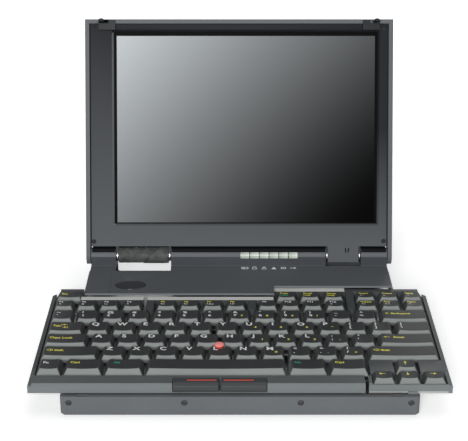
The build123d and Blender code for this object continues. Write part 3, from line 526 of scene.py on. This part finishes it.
deck_high, sign_start, sign_pitch, sign_back = 0.0282, 0.0007, 0.0078, 0.0466
sign_parts = []
for number, sign in enumerate(signs):
    place = (sign_start + (number + 0.5) * sign_pitch, sign_back, deck_high)
    sign_parts += [flat_shape([(1.5 * a, 1.8 * b) for a, b in corners], place)
                   for corners in sign]
solid_piece("deck_seam", *flat_shape(bar(-0.1, 1.3, 0.1, 28.0), (-0.101, 0.0, deck_high)), rubber,
            "base", "case_black", smooth=False)
solid_piece("deck_signs", *gathered(sign_parts), ink["white"], "base", "lens_clear", smooth=False)

# Painted shade: a thin near-black strip lies over the top of the ridge, in three lengths beside
# and between the hinges, standing in for the shade between the deck and the lid, so that no light
# shows there.
lean = radians(110.4)
lid_up = np.array([0.0, -cos(lean), sin(lean)])
lid_out = np.array([0.0, -sin(lean), -cos(lean)])
axis_point = np.array([0.0, 0.05836, 0.0342])


def curved_strip(x0, x1, inner, outer, start, end, steps=20):
    """A skin round the hinge axis: points are axis + radius * (cos a * y + sin a * z)."""
    angle = np.radians(np.linspace(start, end, steps))
    ring = np.concatenate([
        np.stack([outer * np.cos(angle), outer * np.sin(angle)], axis=1),
        np.stack([inner * np.cos(angle), inner * np.sin(angle)], axis=1)[::-1]])
    count = 2 * steps
    points = np.concatenate([
        np.column_stack([np.full(count, x), axis_point[1] + ring[:, 0], axis_point[2] + ring[:, 1]])
        for x in (x0, x1)])
    a = np.arange(count)
    b = (a + 1) % count
    faces = np.stack([a, b, b + count, a + count], axis=1)[:, ::-1].tolist()
    half = np.arange(steps - 1)
    for base, turn_over in ((0, False), (count, True)):
        side = np.stack([half, half + 1, count - 2 - half, count - 1 - half], axis=1) + base
        faces += (side[:, ::-1] if turn_over else side).tolist()
    return points, faces


# Near-black that stands in for shade: the ridge strip, the lid's lip and the tab slots.
shade_black = moulded_plastic("painted_shade_black", (0.012, 0.0125, 0.014), 0.85, 0.0001, 0.1)
strips = [curved_strip(x0, x1, inner=0.0062, outer=0.00642, start=40, end=134)
          for x0, x1 in ((-0.1190, -0.0999), (-0.0547, 0.0698), (0.0988, 0.1190))]
solid_piece("ridge_shade_strip", *gathered(strips), shade_black, "base", "rubber_black")

# Lid: a deep shell with a rim, and a screen surround inside it held by four capped screws. The
# surround carries a painted reflection that makes it paler low down and to the left, and a painted
# highlight along its left bevel. Latch blocks and hooks sit at the rim, and a near-black lip under
# the lid's back edge, painted shade, comes down behind the ridge.
lid_plastic = moulded_plastic("lid_plastic", (0.125, 0.132, 0.14), 0.5)
rounded_copy("lid_shell", lid_plastic, 0.35, 28.0)

highlight_at, highlight_half, highlight_foot, highlight_head = -0.1009, 0.0013, 0.0588, 0.2038
groove_start = 0.1192
surround = Finish("surround_plastic", {"Specular IOR Level": 0.1})
across, _, up = surround.place_parts()
# Painted reflection: the surround's colour is paler low down and to the left.
surround_reflection = surround.clamped(1.0 - (up - 0.04) * (across * 22.0 + 8.4))
speck = surround.noise(900.0, 2.0)
tone = surround.mixed(surround_reflection * 0.92 + speck * 0.08, (0.010, 0.012, 0.015), (0.108, 0.115, 0.125))
# Painted highlight along the surround's left bevel.
bevel = surround.node(
    "ShaderNodeMath", {"operation": "COMPARE"}, {0: across, 1: highlight_at, 2: highlight_half})
bevel = bevel * up.over(highlight_foot) * (1 - up.over(highlight_head))
groove = surround.node(
    "ShaderNodeMath", {"operation": "ABSOLUTE"}, {0: across}).over(groove_start)
tone = surround.mixed(bevel * 0.8, tone, (0.19, 0.2, 0.205))
surround.feed("Base Color", surround.mixed(groove, tone, (0.006, 0.007, 0.008)))
surround.feed("Roughness", speck * 0.12 + 0.44)
surround.bumped(surround.noise(1500.0, 1.0), 0.00004)
rounded_copy("lid_bezel", surround.material, 0.22, 25.0)
latch_plastic = moulded_plastic("latch_plastic", (0.022, 0.024, 0.027), 0.42, 0.00002, 0.12)
rounded_copy("latch_blocks", latch_plastic, 0.3)
rounded_copy("left_latch_hook", latch_plastic, 0.25)
rounded_copy("right_latch_hook", latch_plastic, 0.25)


def on_lid(x, up, out):
    """A point of the lid in metres, from mm across, up from the hinge axis and out of it."""
    return (axis_point + np.array([x * 0.001, 0, 0]) + lid_up * up * 0.001
            + lid_out * out * 0.001)


cap_profile = [(0.0018, -0.0008), (0.0018, 0.0), (0.0015, 0.00025), (0.0009, 0.0003),
               (0.0004, 0.0002)]
caps = []
for group in solids_of("bezel_screws"):
    front_face = ((group - axis_point) @ lid_out).max()
    middle = (group.min(axis=0) + group.max(axis=0)) / 2
    centre = middle + lid_out * (front_face - (middle - axis_point) @ lid_out)
    caps.append(turned(cap_profile, centre, lid_out, (1, 0, 0), 24))
lid_caps = solid_piece("screw_caps", *gathered(caps), rubber, "lid", None)
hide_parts("bezel_screws")

box_faces = [(3, 2, 1, 0), (4, 5, 6, 7), (0, 1, 5, 4), (1, 2, 6, 5), (2, 3, 7, 6), (3, 0, 4, 7)]
# The lip is near-black, painted shade behind the ridge.
lip_corners = [(5.8, -4.4), (8.2, -4.4), (8.2, -3.6), (5.8, -3.6)]
lip_points = [on_lid(x, up, out) for x in (-119.3, 119.3) for up, out in lip_corners]
solid_piece("lid_lip", lip_points, box_faces, shade_black, "lid", "rubber_black", smooth=False)
# Each tab slot is a thin near-black box: painted shade inside the slot.
slot_half, slot_foot, slot_head, tab_face = 0.45, 2.9, 6.1, 4.5
slot_corners = [(-slot_half, slot_foot), (slot_half, slot_foot),
                (slot_half, slot_head), (-slot_half, slot_head)]
slots = [
    ([on_lid(x + aside, up, tab_face + out) for out in (-0.3, 0.03) for aside, up in slot_corners],
     box_faces)
    for x in (86.2, 88.6)
]
solid_piece("tab_slots", *gathered(slots), shade_black, "lid", "case_black", smooth=False)

# Screen: a dark panel behind clear plastic with a fine anti-glare coat. Switched off, its colour
# carries a painted reflection, pale grey at the upper left fading to black at the lower right, and
# it has a black border.
# Climb is the height gained for each metre up the leaning lid.
panel = Finish("screen_face", {"Specular IOR Level": 0.02})
across, _, height = panel.place_parts()
left, right = -0.0984, 0.1092
picture_foot, picture_head, climb = 0.0280, 0.1781, 0.937
bottom = axis_point[2] + picture_foot * climb
top = axis_point[2] + picture_head * climb
u = (across - left) / (right - left)
v = (height - bottom) / (top - bottom)
# Painted reflection across the screen, strongest at the upper left.
screen_reflection = panel.clamped(0.50 - u * 0.52 + v * 0.29 + u * v * 0.07) ** 2.2
grey = panel.mixed(screen_reflection, (0.0, 0.0, 0.0), (0.98, 1.03, 1.06))
beyond, above = [
    panel.node("ShaderNodeMath", {"operation": "ABSOLUTE"}, {0: share - 0.5}).over(0.5)
    for share in (u, v)]
border = panel.node("ShaderNodeMath", {"operation": "MAXIMUM"}, {0: beyond, 1: above})
panel.feed("Base Color", panel.mixed(border, grey, (0.004, 0.004, 0.004)))
panel.feed("Roughness", panel.noise(1200.0, 1.0) * 0.1 + 0.38)
dress("screen_glass", panel.material)
dress("lcd_panel", brushed_metal("panel_back", (0.4, 0.4, 0.41), 0.4))

# Hinges: steel cheeks painted black, with bright steel bushings round the pins, and on the left
# the screen cable, wrapped in a soft black sleeve whose edge runs round it at a slant. All of
# them turn with the lid.
rounded_copy("hinge_cheeks", moulded_plastic("black_steel", (0.02, 0.021, 0.023), 0.4), 0.15)
bushing_profile = [(0.0014, 0.0003), (0.0046, 0.0003), (0.0049, 0.0005), (0.0049, 0.0011),
                   (0.0046, 0.0013), (0.0014, 0.0013)]
bushings = [turned(bushing_profile, (x, axis_point[1], axis_point[2]), (1, 0, 0), (0, 0, 1), 40)
            for x in (-0.0993, -0.057, 0.0704, 0.0966)]
solid_piece("pin_bushings", *gathered(bushings),
            brushed_metal("pin_steel", (0.8, 0.8, 0.79), 0.3), "lid", "hinge_steel")

# The sleeve's radius is 6.1 mm, drawn in at both ends, thicker past the slanting edge of the
# wrapping, with a small lip at that edge and two waves of creases along and round it.
low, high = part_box("cable_sleeve")
length = high[0] - low[0]
sleeve_rows, sleeve_count = 90, 72
s, t = np.meshgrid(np.linspace(0, 1, sleeve_rows),
                   np.linspace(0, 2 * pi, sleeve_count, endpoint=False), indexing="ij")
slant = 0.66 + 0.16 * np.cos(t - 0.9)
step = 1 / (1 + np.exp(-(s - slant) * 160))
lip = np.exp(-((s - slant) / 0.012) ** 2)
creases = (np.sin(2 * t + 9 * s) * np.sin(19 * s + 1.3) * 0.5
           + np.sin(3 * t - 6 * s + 1.0) * np.sin(31 * s) * 0.3)
ends = 1 - 0.05 * np.exp(-s / 0.015) - 0.05 * np.exp(-(1 - s) / 0.015)
radius = 0.0061 * ends + 0.00042 * step + 0.0002 * lip + 0.00018 * creases
sleeve_points = np.stack([
    low[0] + length * s,
    axis_point[1] + radius * np.cos(t),
    axis_point[2] + radius * np.sin(t),
], axis=-1).reshape(-1, 3)
cloth = Finish("sleeve_cloth", {"Specular IOR Level": 0.25, "Sheen Weight": 0.15})
mottle = cloth.noise(240.0, 4.0)
seam = cloth.node("ShaderNodeAttribute", {"attribute_name": "seam"}, output=2)
cloth.feed("Base Color", cloth.mixed(
    seam, cloth.mixed(mottle ** 1.6, (0.02, 0.021, 0.023), (0.19, 0.195, 0.19)),
    (0.008, 0.008, 0.009)))
cloth.feed("Roughness", mottle * 0.25 + 0.45)
cloth.bumped(cloth.noise(1300.0, 2.0) * 0.5 + mottle * 0.5, 0.0001, 0.5)
sleeve = solid_piece("wrapped_sleeve", sleeve_points, ring_faces(sleeve_rows, sleeve_count),
                     cloth.material, "lid", None)
sleeve.data.attributes.new("seam", "FLOAT", "POINT").data.foreach_set(
    "value", np.exp(-((s - slant - 0.012) / 0.008) ** 2).astype(np.float32).ravel())
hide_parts("cable_sleeve")

# Keyboard frames: each half has a moulded frame with side wall, rear bars and palm strip, and a
# click button with a red painted stripe sits in each palm strip. The palm strip's front slope is
# paler, a painted highlight, and a pale strip of painted highlight lies along the rear bars, where
# the halves pass under the deck.
palm_back, slope_back = -0.112, -0.1269
frame_plastic = Finish("frame_plastic", {"Specular IOR Level": 0.18})
_, back, _ = frame_plastic.place_parts()
rearward = frame_plastic.clamped((back - palm_back) * 90.0)
frame_speck = frame_plastic.noise(900.0, 2.0) * 0.4 + frame_plastic.noise(17.0, 3.0) * 0.6
# Painted highlight: the palm strip's front slope is paler than its top.
palm_tone_and_highlight = frame_plastic.mixed(
    1 - back.over(slope_back),
    frame_plastic.mixed(frame_speck, (0.095, 0.105, 0.107), (0.135, 0.149, 0.151)),
    frame_plastic.mixed(frame_speck, (0.16, 0.176, 0.178), (0.21, 0.23, 0.233)))
frame_plastic.feed("Base Color", frame_plastic.mixed(
    rearward,
    palm_tone_and_highlight,
    frame_plastic.mixed(frame_speck, (0.05, 0.055, 0.056), (0.078, 0.085, 0.087))))
frame_plastic.feed("Roughness", frame_speck * 0.16 + 0.4)
frame_plastic.bumped(frame_plastic.noise(1500.0, 1.0), 0.00004)
rounded_copy("left_frame", frame_plastic.material, 0.35, 25.0)
rounded_copy("right_frame", frame_plastic.material, 0.35, 25.0)
button_plastic = moulded_plastic("button_plastic", (0.06, 0.064, 0.067), 0.42)
red_paint = printed_ink("stripe_red", (0.72, 0.10, 0.07))
inset, paint = 0.0002, 0.00012
stripe_front, stripe_rear = 0.0044, 0.0058
for side, x0, x1 in (("left", -0.0362, -0.0162), ("right", -0.0111, 0.0095)):
    rounded_copy(f"{side}_click_button", button_plastic, 0.3)
    low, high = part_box(f"{side}_click_button")
    y0, y1, z = low[1] + stripe_front, low[1] + stripe_rear, high[2]
    stripe = [(x, y, z) for x, y in bar(x0, y0, x1, y1)]
    stripe += [(x, y, z + paint)
               for x, y in bar(x0 + inset, y0 + inset, x1 - inset, y1 - inset)]
    solid_piece(f"{side}_stripe", stripe, box_faces, red_paint, f"{side}_click_button",
                "stick_red", smooth=False)

# A pale strip on the black rear bars: painted highlight.
rear_bar_highlight = moulded_plastic("rear_bar_highlight", (0.50, 0.51, 0.49), 0.4, 0.00002)
strip_foot, front_high, rear_high, front_in = 0.0252, 0.0254, 0.0262, 0.0003
for body, x0, x1, y_front, y_rear in (
    ("left_half", -0.1221, -0.0739, -0.00414, -0.00079),
    ("right_half", -0.0710, 0.0264, -0.00414, -0.00079),
    ("right_half", 0.0270, 0.0822, 0.01046, 0.01451),
):
    points = [(x, y, strip_foot) for x, y in bar(x0, y_front, x1, y_rear)]
    points += [(x0, y_front + front_in, front_high), (x1, y_front + front_in, front_high),
               (x1, y_rear, rear_high), (x0, y_rear, rear_high)]
    solid_piece(f"rear_highlight_{int(x0 * 1e4 + 2000)}", points, box_faces, rear_bar_highlight, body,
                "frame_black", smooth=False)

# Keys: each is a tapered cap moulded in one piece, dark on its hollowed top, with a painted
# highlight on its skirts, painted shade on their flanks and, but for the front row, at their foot,
# and printed marks. Its cell and height come from the CAD node that it replaces.
key_plastic = Finish("key_plastic", {"Specular IOR Level": 0.2})
top_and_shade_share = key_plastic.node("ShaderNodeAttribute", {"attribute_name": "top"}, output=2)
key_speck = key_plastic.noise(1100.0, 2.0)
key_cloud = key_plastic.noise(30.0, 2.0)
# The pale skirt tone is a painted highlight; the dark top tone also serves as painted shade.
skirt_highlight = key_plastic.mixed(
    key_cloud * 0.6 + key_speck * 0.4, (0.23, 0.248, 0.24), (0.32, 0.342, 0.33))
top_tone = key_plastic.mixed(
    key_cloud * 0.5 + key_speck * 0.5, (0.034, 0.035, 0.037), (0.056, 0.058, 0.061))
key_plastic.feed("Base Color", key_plastic.mixed(top_and_shade_share, skirt_highlight, top_tone))
key_plastic.feed("Roughness", key_speck * 0.14 + (0.40 + top_and_shade_share * 0.06))
key_plastic.bumped(key_plastic.noise(1600.0, 1.0), 0.00004)
stick_centre = np.array([-0.0146875, -0.07834])
stick_room = 0.0049


def rounded_outline(x0, x1, y0, y1, radius, side_steps, end_steps):
    """Points round a rectangle with rounded corners, anticlockwise from its lower right:
    a quarter turn about each corner's centre, then even steps along the side."""
    corner_steps = 4
    centres = [(x1 - radius, y0 + radius), (x1 - radius, y1 - radius),
               (x0 + radius, y1 - radius), (x0 + radius, y0 + radius)]
    counts = (end_steps, side_steps, end_steps, side_steps)
    arcs = []
    for k, (cx, cy) in enumerate(centres):
        angle = -pi / 2 + k * pi / 2 + np.linspace(0, pi / 2, corner_steps + 1)
        arcs.append(np.stack([cx + radius * np.cos(angle), cy + radius * np.sin(angle)], axis=1))
    points = []
    for k in range(4):
        points.append(arcs[k])
        start, end = arcs[k][-1], arcs[(k + 1) % 4][0]
        share = np.linspace(0, 1, counts[k] + 2)[1:-1, None]
        points.append(start + (end - start) * share)
    return np.concatenate(points)


def key_shape(group, notched, shaded):
    """A key as rings from skirt to top: outline = low + share * (high - low), and height =
    skirt + share * (dish(x) - skirt), with dish(x) = top - depth * (1 - x^2 / half^2)."""
    skirt, depth, flank_shade_wide, side_step, level = 0.0215, 0.00055, 0.0008, 0.0028, 0.00004
    low, high = group.min(axis=0), group.max(axis=0)
    crest = group[group[:, 2] > high[2] - level]
    t0, t1 = crest.min(axis=0), crest.max(axis=0)
    middle = (t0[0] + t1[0]) / 2
    half = (t1[0] - t0[0]) / 2
    side_steps = 26 if notched else max(6, int((high[0] - low[0]) / side_step))
    end_steps = 26 if notched else 5
    rings = []
    # Each ring: its share of the way up and in, its pull inwards, corner radius and tone. Tone 0
    # is the skirts' painted highlight and 1 the dark top; shaded puts painted shade at the foot.
    for share, pull, corner, tone in (
        (0.0, 0.0, 0.0007, shaded), (0.3, 0.0, 0.0008, shaded * 0.8), (0.55, 0.0, 0.0009, 0.0),
        (0.9, 0.0, 0.0011, 0.0), (0.965, 0.00006, 0.0012, 0.0), (0.992, 0.0002, 0.0012, 0.75),
        (1.0, 0.00042, 0.0012, 1.0),
    ):
        x0 = low[0] + share * (t0[0] - low[0]) + pull
        x1 = high[0] + share * (t1[0] - high[0]) - pull
        y0 = low[1] + share * (t0[1] - low[1]) + pull
        y1 = high[1] + share * (t1[1] - high[1]) - pull
        outline = rounded_outline(x0, x1, y0, y1, corner, side_steps, end_steps)
        rings.append((outline, share, tone))
    last = outline
    hub = np.array([middle, (last[:, 1].min() + last[:, 1].max()) / 2])
    inward = (0.9, 0.78, 0.64, 0.5, 0.36, 0.22, 0.08) if notched else (0.82, 0.58, 0.34, 0.12)
    rings += [(hub + (last - hub) * inner, 1.0, 1.0) for inner in inward]
    points, tones = [], [np.zeros(len(last))]
    for flat, share, tone in rings:
        if notched:
            away = flat - stick_centre
            distance = np.linalg.norm(away, axis=1)
            inside = distance < stick_room
            flat = np.where(inside[:, None],
                            stick_centre + away / distance[:, None] * stick_room, flat)
        aside = np.abs(flat[:, 0] - middle)
        dished = high[2] - depth * (1 - np.clip(aside / half, 0, 1) ** 2)
        points.append(np.column_stack([flat, skirt + share * (dished - skirt)]))
        wide = (high[0] - low[0]) / 2
        # Painted shade on the key's left and right flanks.
        flank_shade = np.clip((aside / aside.max() - 1 + flank_shade_wide / wide) * wide / flank_shade_wide, 0, 1)
        tones.append(np.maximum(tone, flank_shade * 0.9))
    floor = points[0].copy()
    floor[:, :2] = hub + (floor[:, :2] - hub) * 0.3
    points = [floor] + points
    faces = ring_faces(len(points), len(last))
    return (np.concatenate(points), faces, np.concatenate(tones),
            (t0[0], t1[1], middle, half, depth, high[2]))


words = {}


def word(text, tall):
    """A word as flat faces, its lower left at the origin and its capitals tall mm high."""
    capital_share, boldness, widening = 0.73, 0.045, 1.12
    if (text, tall) not in words:
        curve = bpy.data.curves.new("word", "FONT")
        curve.body = text
        curve.size = tall * 0.001 / capital_share
        curve.offset = tall * 0.001 * boldness
        curve.resolution_u = 3
        holder = bpy.data.objects.new("word", curve)
        mesh = bpy.data.meshes.new_from_object(holder)
        points = np.empty(len(mesh.vertices) * 3)
        mesh.vertices.foreach_get("co", points)
        words[text, tall] = (points.reshape(-1, 3) * (widening, 1.0, 1.0),
                             [list(p.vertices) for p in mesh.polygons])
        bpy.data.objects.remove(holder)
        bpy.data.meshes.remove(mesh)
        bpy.data.curves.remove(curve)
    return words[text, tall]


def arrow(long, head, way):
    """A flat arrow long mm in length pointing left, right, up or down, as points and faces."""
    stem, spread = 0.22, head * 0.62
    shape = np.array([(0, 0), (head, spread), (head, stem), (long, stem), (long, -stem),
                      (head, -stem), (head, -spread)]) * 0.001
    centre = (long * 0.0005, 0)
    shape = {"left": shape,
             "right": shape * (-1, 1) + (long * 0.001, 0),
             "up": (shape - centre) @ np.array([(0, -1), (1, 0)]) + centre,
             "down": (shape - centre) @ np.array([(0, 1), (1, 0)]) + centre}[way]
    points = np.column_stack([shape, np.zeros(7)])
    return points, [[0, 2, 1], [0, 6, 5], [0, 5, 2], [2, 5, 4, 3]]


def hollow_arrow():
    """The outline of a wide arrow pointing left, as points and faces."""
    inner = np.array([(0.9, 0), (2.6, 1.1), (2.6, 0.45), (4.0, 0.45), (4.0, -0.45),
                      (2.6, -0.45), (2.6, -1.1)]) * 0.001
    outer = np.array([(0.0, 0), (3.1, 1.9), (3.1, 0.95), (4.6, 0.95), (4.6, -0.95),
                      (3.1, -0.95), (3.1, -1.9)]) * 0.001
    points = np.column_stack([np.concatenate([outer, inner]), np.zeros(14)])
    return points, [[i, (i + 1) % 7, (i + 1) % 7 + 7, i + 7][::-1] for i in range(7)]


# A legend is a list of marks: what is printed, how far right of and below the top's upper left
# corner its lower left stands and how tall it is, all in mm, and its ink.
def letter(text, extra=None):
    """A letter key's legend, with a small yellow mark at its lower right if extra is given."""
    small = [(extra, 7.4, 9.0, 2.5, "yellow")] if extra else []
    return [(text, 1.3, 5.1, 4.5, "white")] + small


def pair(upper, lower, extra=None):
    """The legend of a key with a mark above another, and perhaps a small yellow one."""
    small = [(extra, 7.0, 9.4, 2.5, "yellow")] if extra else []
    return [(upper, 1.6, 4.3, 3.1, "white"), (lower, 1.6, 9.3, 3.1, "white")] + small


def named(text, ink_name="yellow", across=1.5, tall=2.5, down=5.6):
    """The legend of a key that carries one word."""
    return [(text, across, down, tall, ink_name)]


def function_key(text, ink_name="white", sign=None, across=1.2, tall=1.5, down=6.4):
    """A function key's legend: its name, and a white sign below if there is one."""
    below = named(sign, "white", across, tall, down) if sign else []
    return named(text, ink_name, 1.2, 2.2, 3.4) + below


def navigation_key(text, sign, ink_name="white", across=1.4, tall=1.7, down=6.4,
                   text_tall=2.0, text_down=3.2):
    """A navigation key's legend: its name in yellow, and a second mark below."""
    return (named(text, "yellow", 0.8, text_tall, text_down)
            + named(sign, ink_name, across, tall, down))


shift_legend = [("<hollow", 1.4, 5.4, 4.4, "yellow"), ("Shift", 7.0, 6.6, 2.4, "yellow")]
legends = {
    "escape_key": [named("Esc", tall=2.3, down=4.4)],
    "left_function_keys": [
        function_key("F1", "white", "o", 1.4, 1.9, 6.4),
        function_key("F2", "white", "[]", 1.4, 1.7, 6.6),
        function_key("F3", "white", "( )", 1.4, 1.7, 6.6),
        function_key("F4", "white", "z", 1.4, 1.9, 6.4)],
    "right_function_keys": [
        function_key("F5", "yellow", "abc"), function_key("F6", "yellow", "abc"),
        function_key("F7", "yellow", "[ ]/[ ]"), function_key("F8", "yellow", "[ ]+"),
        function_key("F9"), function_key("F10"), function_key("F11"),
        function_key("F12", "white", "o", 1.4, 1.9, 6.4)],
    "navigation_keys": [
        navigation_key("Delete", "+/-"), navigation_key("End", "o +"),
        navigation_key("PgDn", "o -"),
        navigation_key("PrtSc", "SysRq", "green", 0.8, 1.7, 6.4, text_down=3.4),
        navigation_key("Scroll", "Lock", "yellow", 0.8, 1.9, 6.2, text_tall=1.9),
        navigation_key("Pause", "Break", "yellow", 0.8, 1.7, 6.6, text_down=3.6),
        navigation_key("Insert", "+ ."), navigation_key("Home", "o ."),
        navigation_key("PgUp", "- .")],
    "left_number_keys": [pair("~", "`"), pair("!", "1"), pair("@", "2"), pair("#", "3")],
    "right_number_keys": [pair("$", "4"), pair("%", "5"), pair("^", "6"), pair("&", "7", "7"),
                          pair("*", "8", "8"), pair("(", "9", "9"), pair(")", "0", "/"),
                          pair("_", "-"), pair("+", "=")],
    "backspace_key": [[("<left", 1.6, 4.8, 3.2, "yellow"), ("Backspace", 6.2, 5.7, 2.3, "yellow")]],
    "tab_key": [named("Tab", tall=2.4, across=1.4, down=7.0)
                + [("<left", 8.2, 4.0, 3.6, "yellow"), ("<right", 8.2, 7.8, 3.6, "yellow"),
                   ("|", 7.3, 4.9, 2.0, "yellow"), ("|", 11.9, 8.7, 2.0, "yellow")]],
    "left_upper_letters": [letter(k) for k in "QWERT"],
    "right_upper_letters": [letter("Y"), letter("U", "4"), letter("I", "5"), letter("O", "6"),
                            letter("P", "*"), pair("{", "["), pair("}", "]"), pair("|", "\\")],
    "caps_lock_key": [named("Caps Lock", tall=2.5, across=1.4, down=6.6)],
    "left_home_letters": [letter(k) for k in "ASDFG"],
    "right_home_letters": [letter("H"), letter("J", "1"), letter("K", "2"), letter("L", "3"),
                           pair(":", ";", "-"), pair('"', "'")],
    "enter_key": [[("<left", 1.4, 4.8, 4.8, "yellow"), ("Enter", 8.6, 5.8, 2.4, "yellow")]],
    "left_shift_key": [shift_legend],
    "left_lower_letters": [letter(k) for k in "ZXCVBN"] + [letter("M", "0")],
    "right_lower_letters": [pair("<", ","), pair(">", ".", "."), pair("?", "/", "+")],
    "right_shift_key": [shift_legend],
    "left_bottom_keys": [named("Fn", "white", tall=2.6), named("Ctrl", "yellow", tall=2.6),
                         named("Alt", "green", tall=2.4, across=3.4)],
    "space_bar": [[]],
    "right_bottom_keys": [named("Alt", "green", tall=2.4, across=1.6),
                          named("Ctrl", "yellow", tall=2.6)],
    "arrow_keys": [[("<left", 2.2, 3.2, 4.6, "yellow")], [("<down", 2.6, 3.2, 4.4, "yellow")],
                   [("<right", 2.8, 3.2, 4.6, "yellow")], [("<up", 2.6, 3.2, 4.4, "yellow")]],
}


def printed_mark(text, tall):
    """The flat faces of one mark: an arrow, a hollow arrow or a word."""
    if text == "<hollow":
        return hollow_arrow()
    if text.startswith("<") and len(text) > 1:
        return arrow(tall, 1.9, text[1:])
    return word(text, tall)


beside_stick = ("left_home_letters", "right_home_letters", "left_lower_letters")
front_row = ("left_bottom_keys", "space_bar", "right_bottom_keys", "arrow_keys")
print_high = 0.00005
for node, key_legends in legends.items():
    shapes, tones, prints = [], [], {}
    for group, legend in zip(solids_of(node), key_legends, strict=True):
        nearest = np.clip(stick_centre, group[:, :2].min(axis=0), group[:, :2].max(axis=0))
        notched = (node in beside_stick
                   and np.linalg.norm(nearest - stick_centre) < stick_room)
        # Keys of the front row get no painted shade at the foot of their skirts.
        points, faces, tone, (left, rear, middle, half, depth, crest) = key_shape(
            group, notched, 0.0 if node in front_row else 1.0)
        shapes.append((points, faces))
        tones.append(tone)
        for text, across, down, tall, ink_name in legend:
            flat, mark_faces = printed_mark(text, tall)
            laid = flat + (left + across * 0.001, rear - down * 0.001, 0.0)
            off = np.clip(np.abs(laid[:, 0] - middle) / half, 0, 1)
            laid[:, 2] = crest - depth * (1 - off ** 2) + print_high
            prints.setdefault(ink_name, []).append((laid, mark_faces))
    key_caps = solid_piece(f"{node}_caps", *gathered(shapes), key_plastic.material,
                           body_of[node], None, crease=50.0)
    # The top attribute is 1 on the dark tops and on the painted shade, 0 on the painted highlight.
    key_caps.data.attributes.new("top", "FLOAT", "POINT").data.foreach_set(
        "value", np.concatenate(tones).astype(np.float32))
    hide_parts(node)
    for ink_name, mark_shapes in prints.items():
        solid_piece(f"{node}_{ink_name}_print", *gathered(mark_shapes), ink[ink_name],
                    body_of[node], "key_grey", smooth=False)

# Pointing stick: a soft red rubber cap with a rough domed top, pushed over a square steel
# post between three keys.
rough_start = 0.0268
stick_rubber = Finish("stick_rubber", {"Specular IOR Level": 0.35})
dots = stick_rubber.noise(1500.0, 2.0)
_, _, up = stick_rubber.place_parts()
paler = stick_rubber.clamped((up - rough_start) / 0.0012)
stick_rubber.feed("Base Color", stick_rubber.mixed(
    paler * 0.7 + dots * 0.3, (0.85, 0.05, 0.04), (1.0, 0.38, 0.34)))
stick_rubber.feed("Roughness", dots * 0.3 + 0.5)
stick_rubber.bumped(dots, 0.00025, 0.7)
low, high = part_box("pointing_stick_cap")
cap_middle = ((low[0] + high[0]) / 2, (low[1] + high[1]) / 2, low[2])
stick_profile = [(0.0022, 0.0), (0.0029, 0.0004), (0.0030, 0.0015), (0.0031, 0.0024),
                 (0.0036, 0.0028), (0.0037, 0.0033), (0.0035, 0.0038), (0.0029, 0.0042),
                 (0.0018, 0.00436), (0.0008, 0.0044)]
stick = solid_piece(
    "red_stick_cap", *turned(stick_profile, cap_middle, (0, 0, 1), (1, 0, 0), 48),
    stick_rubber.material, "left_half", None, crease=70.0)
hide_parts("pointing_stick_cap")
dress("pointing_stick_post", drive_steel)
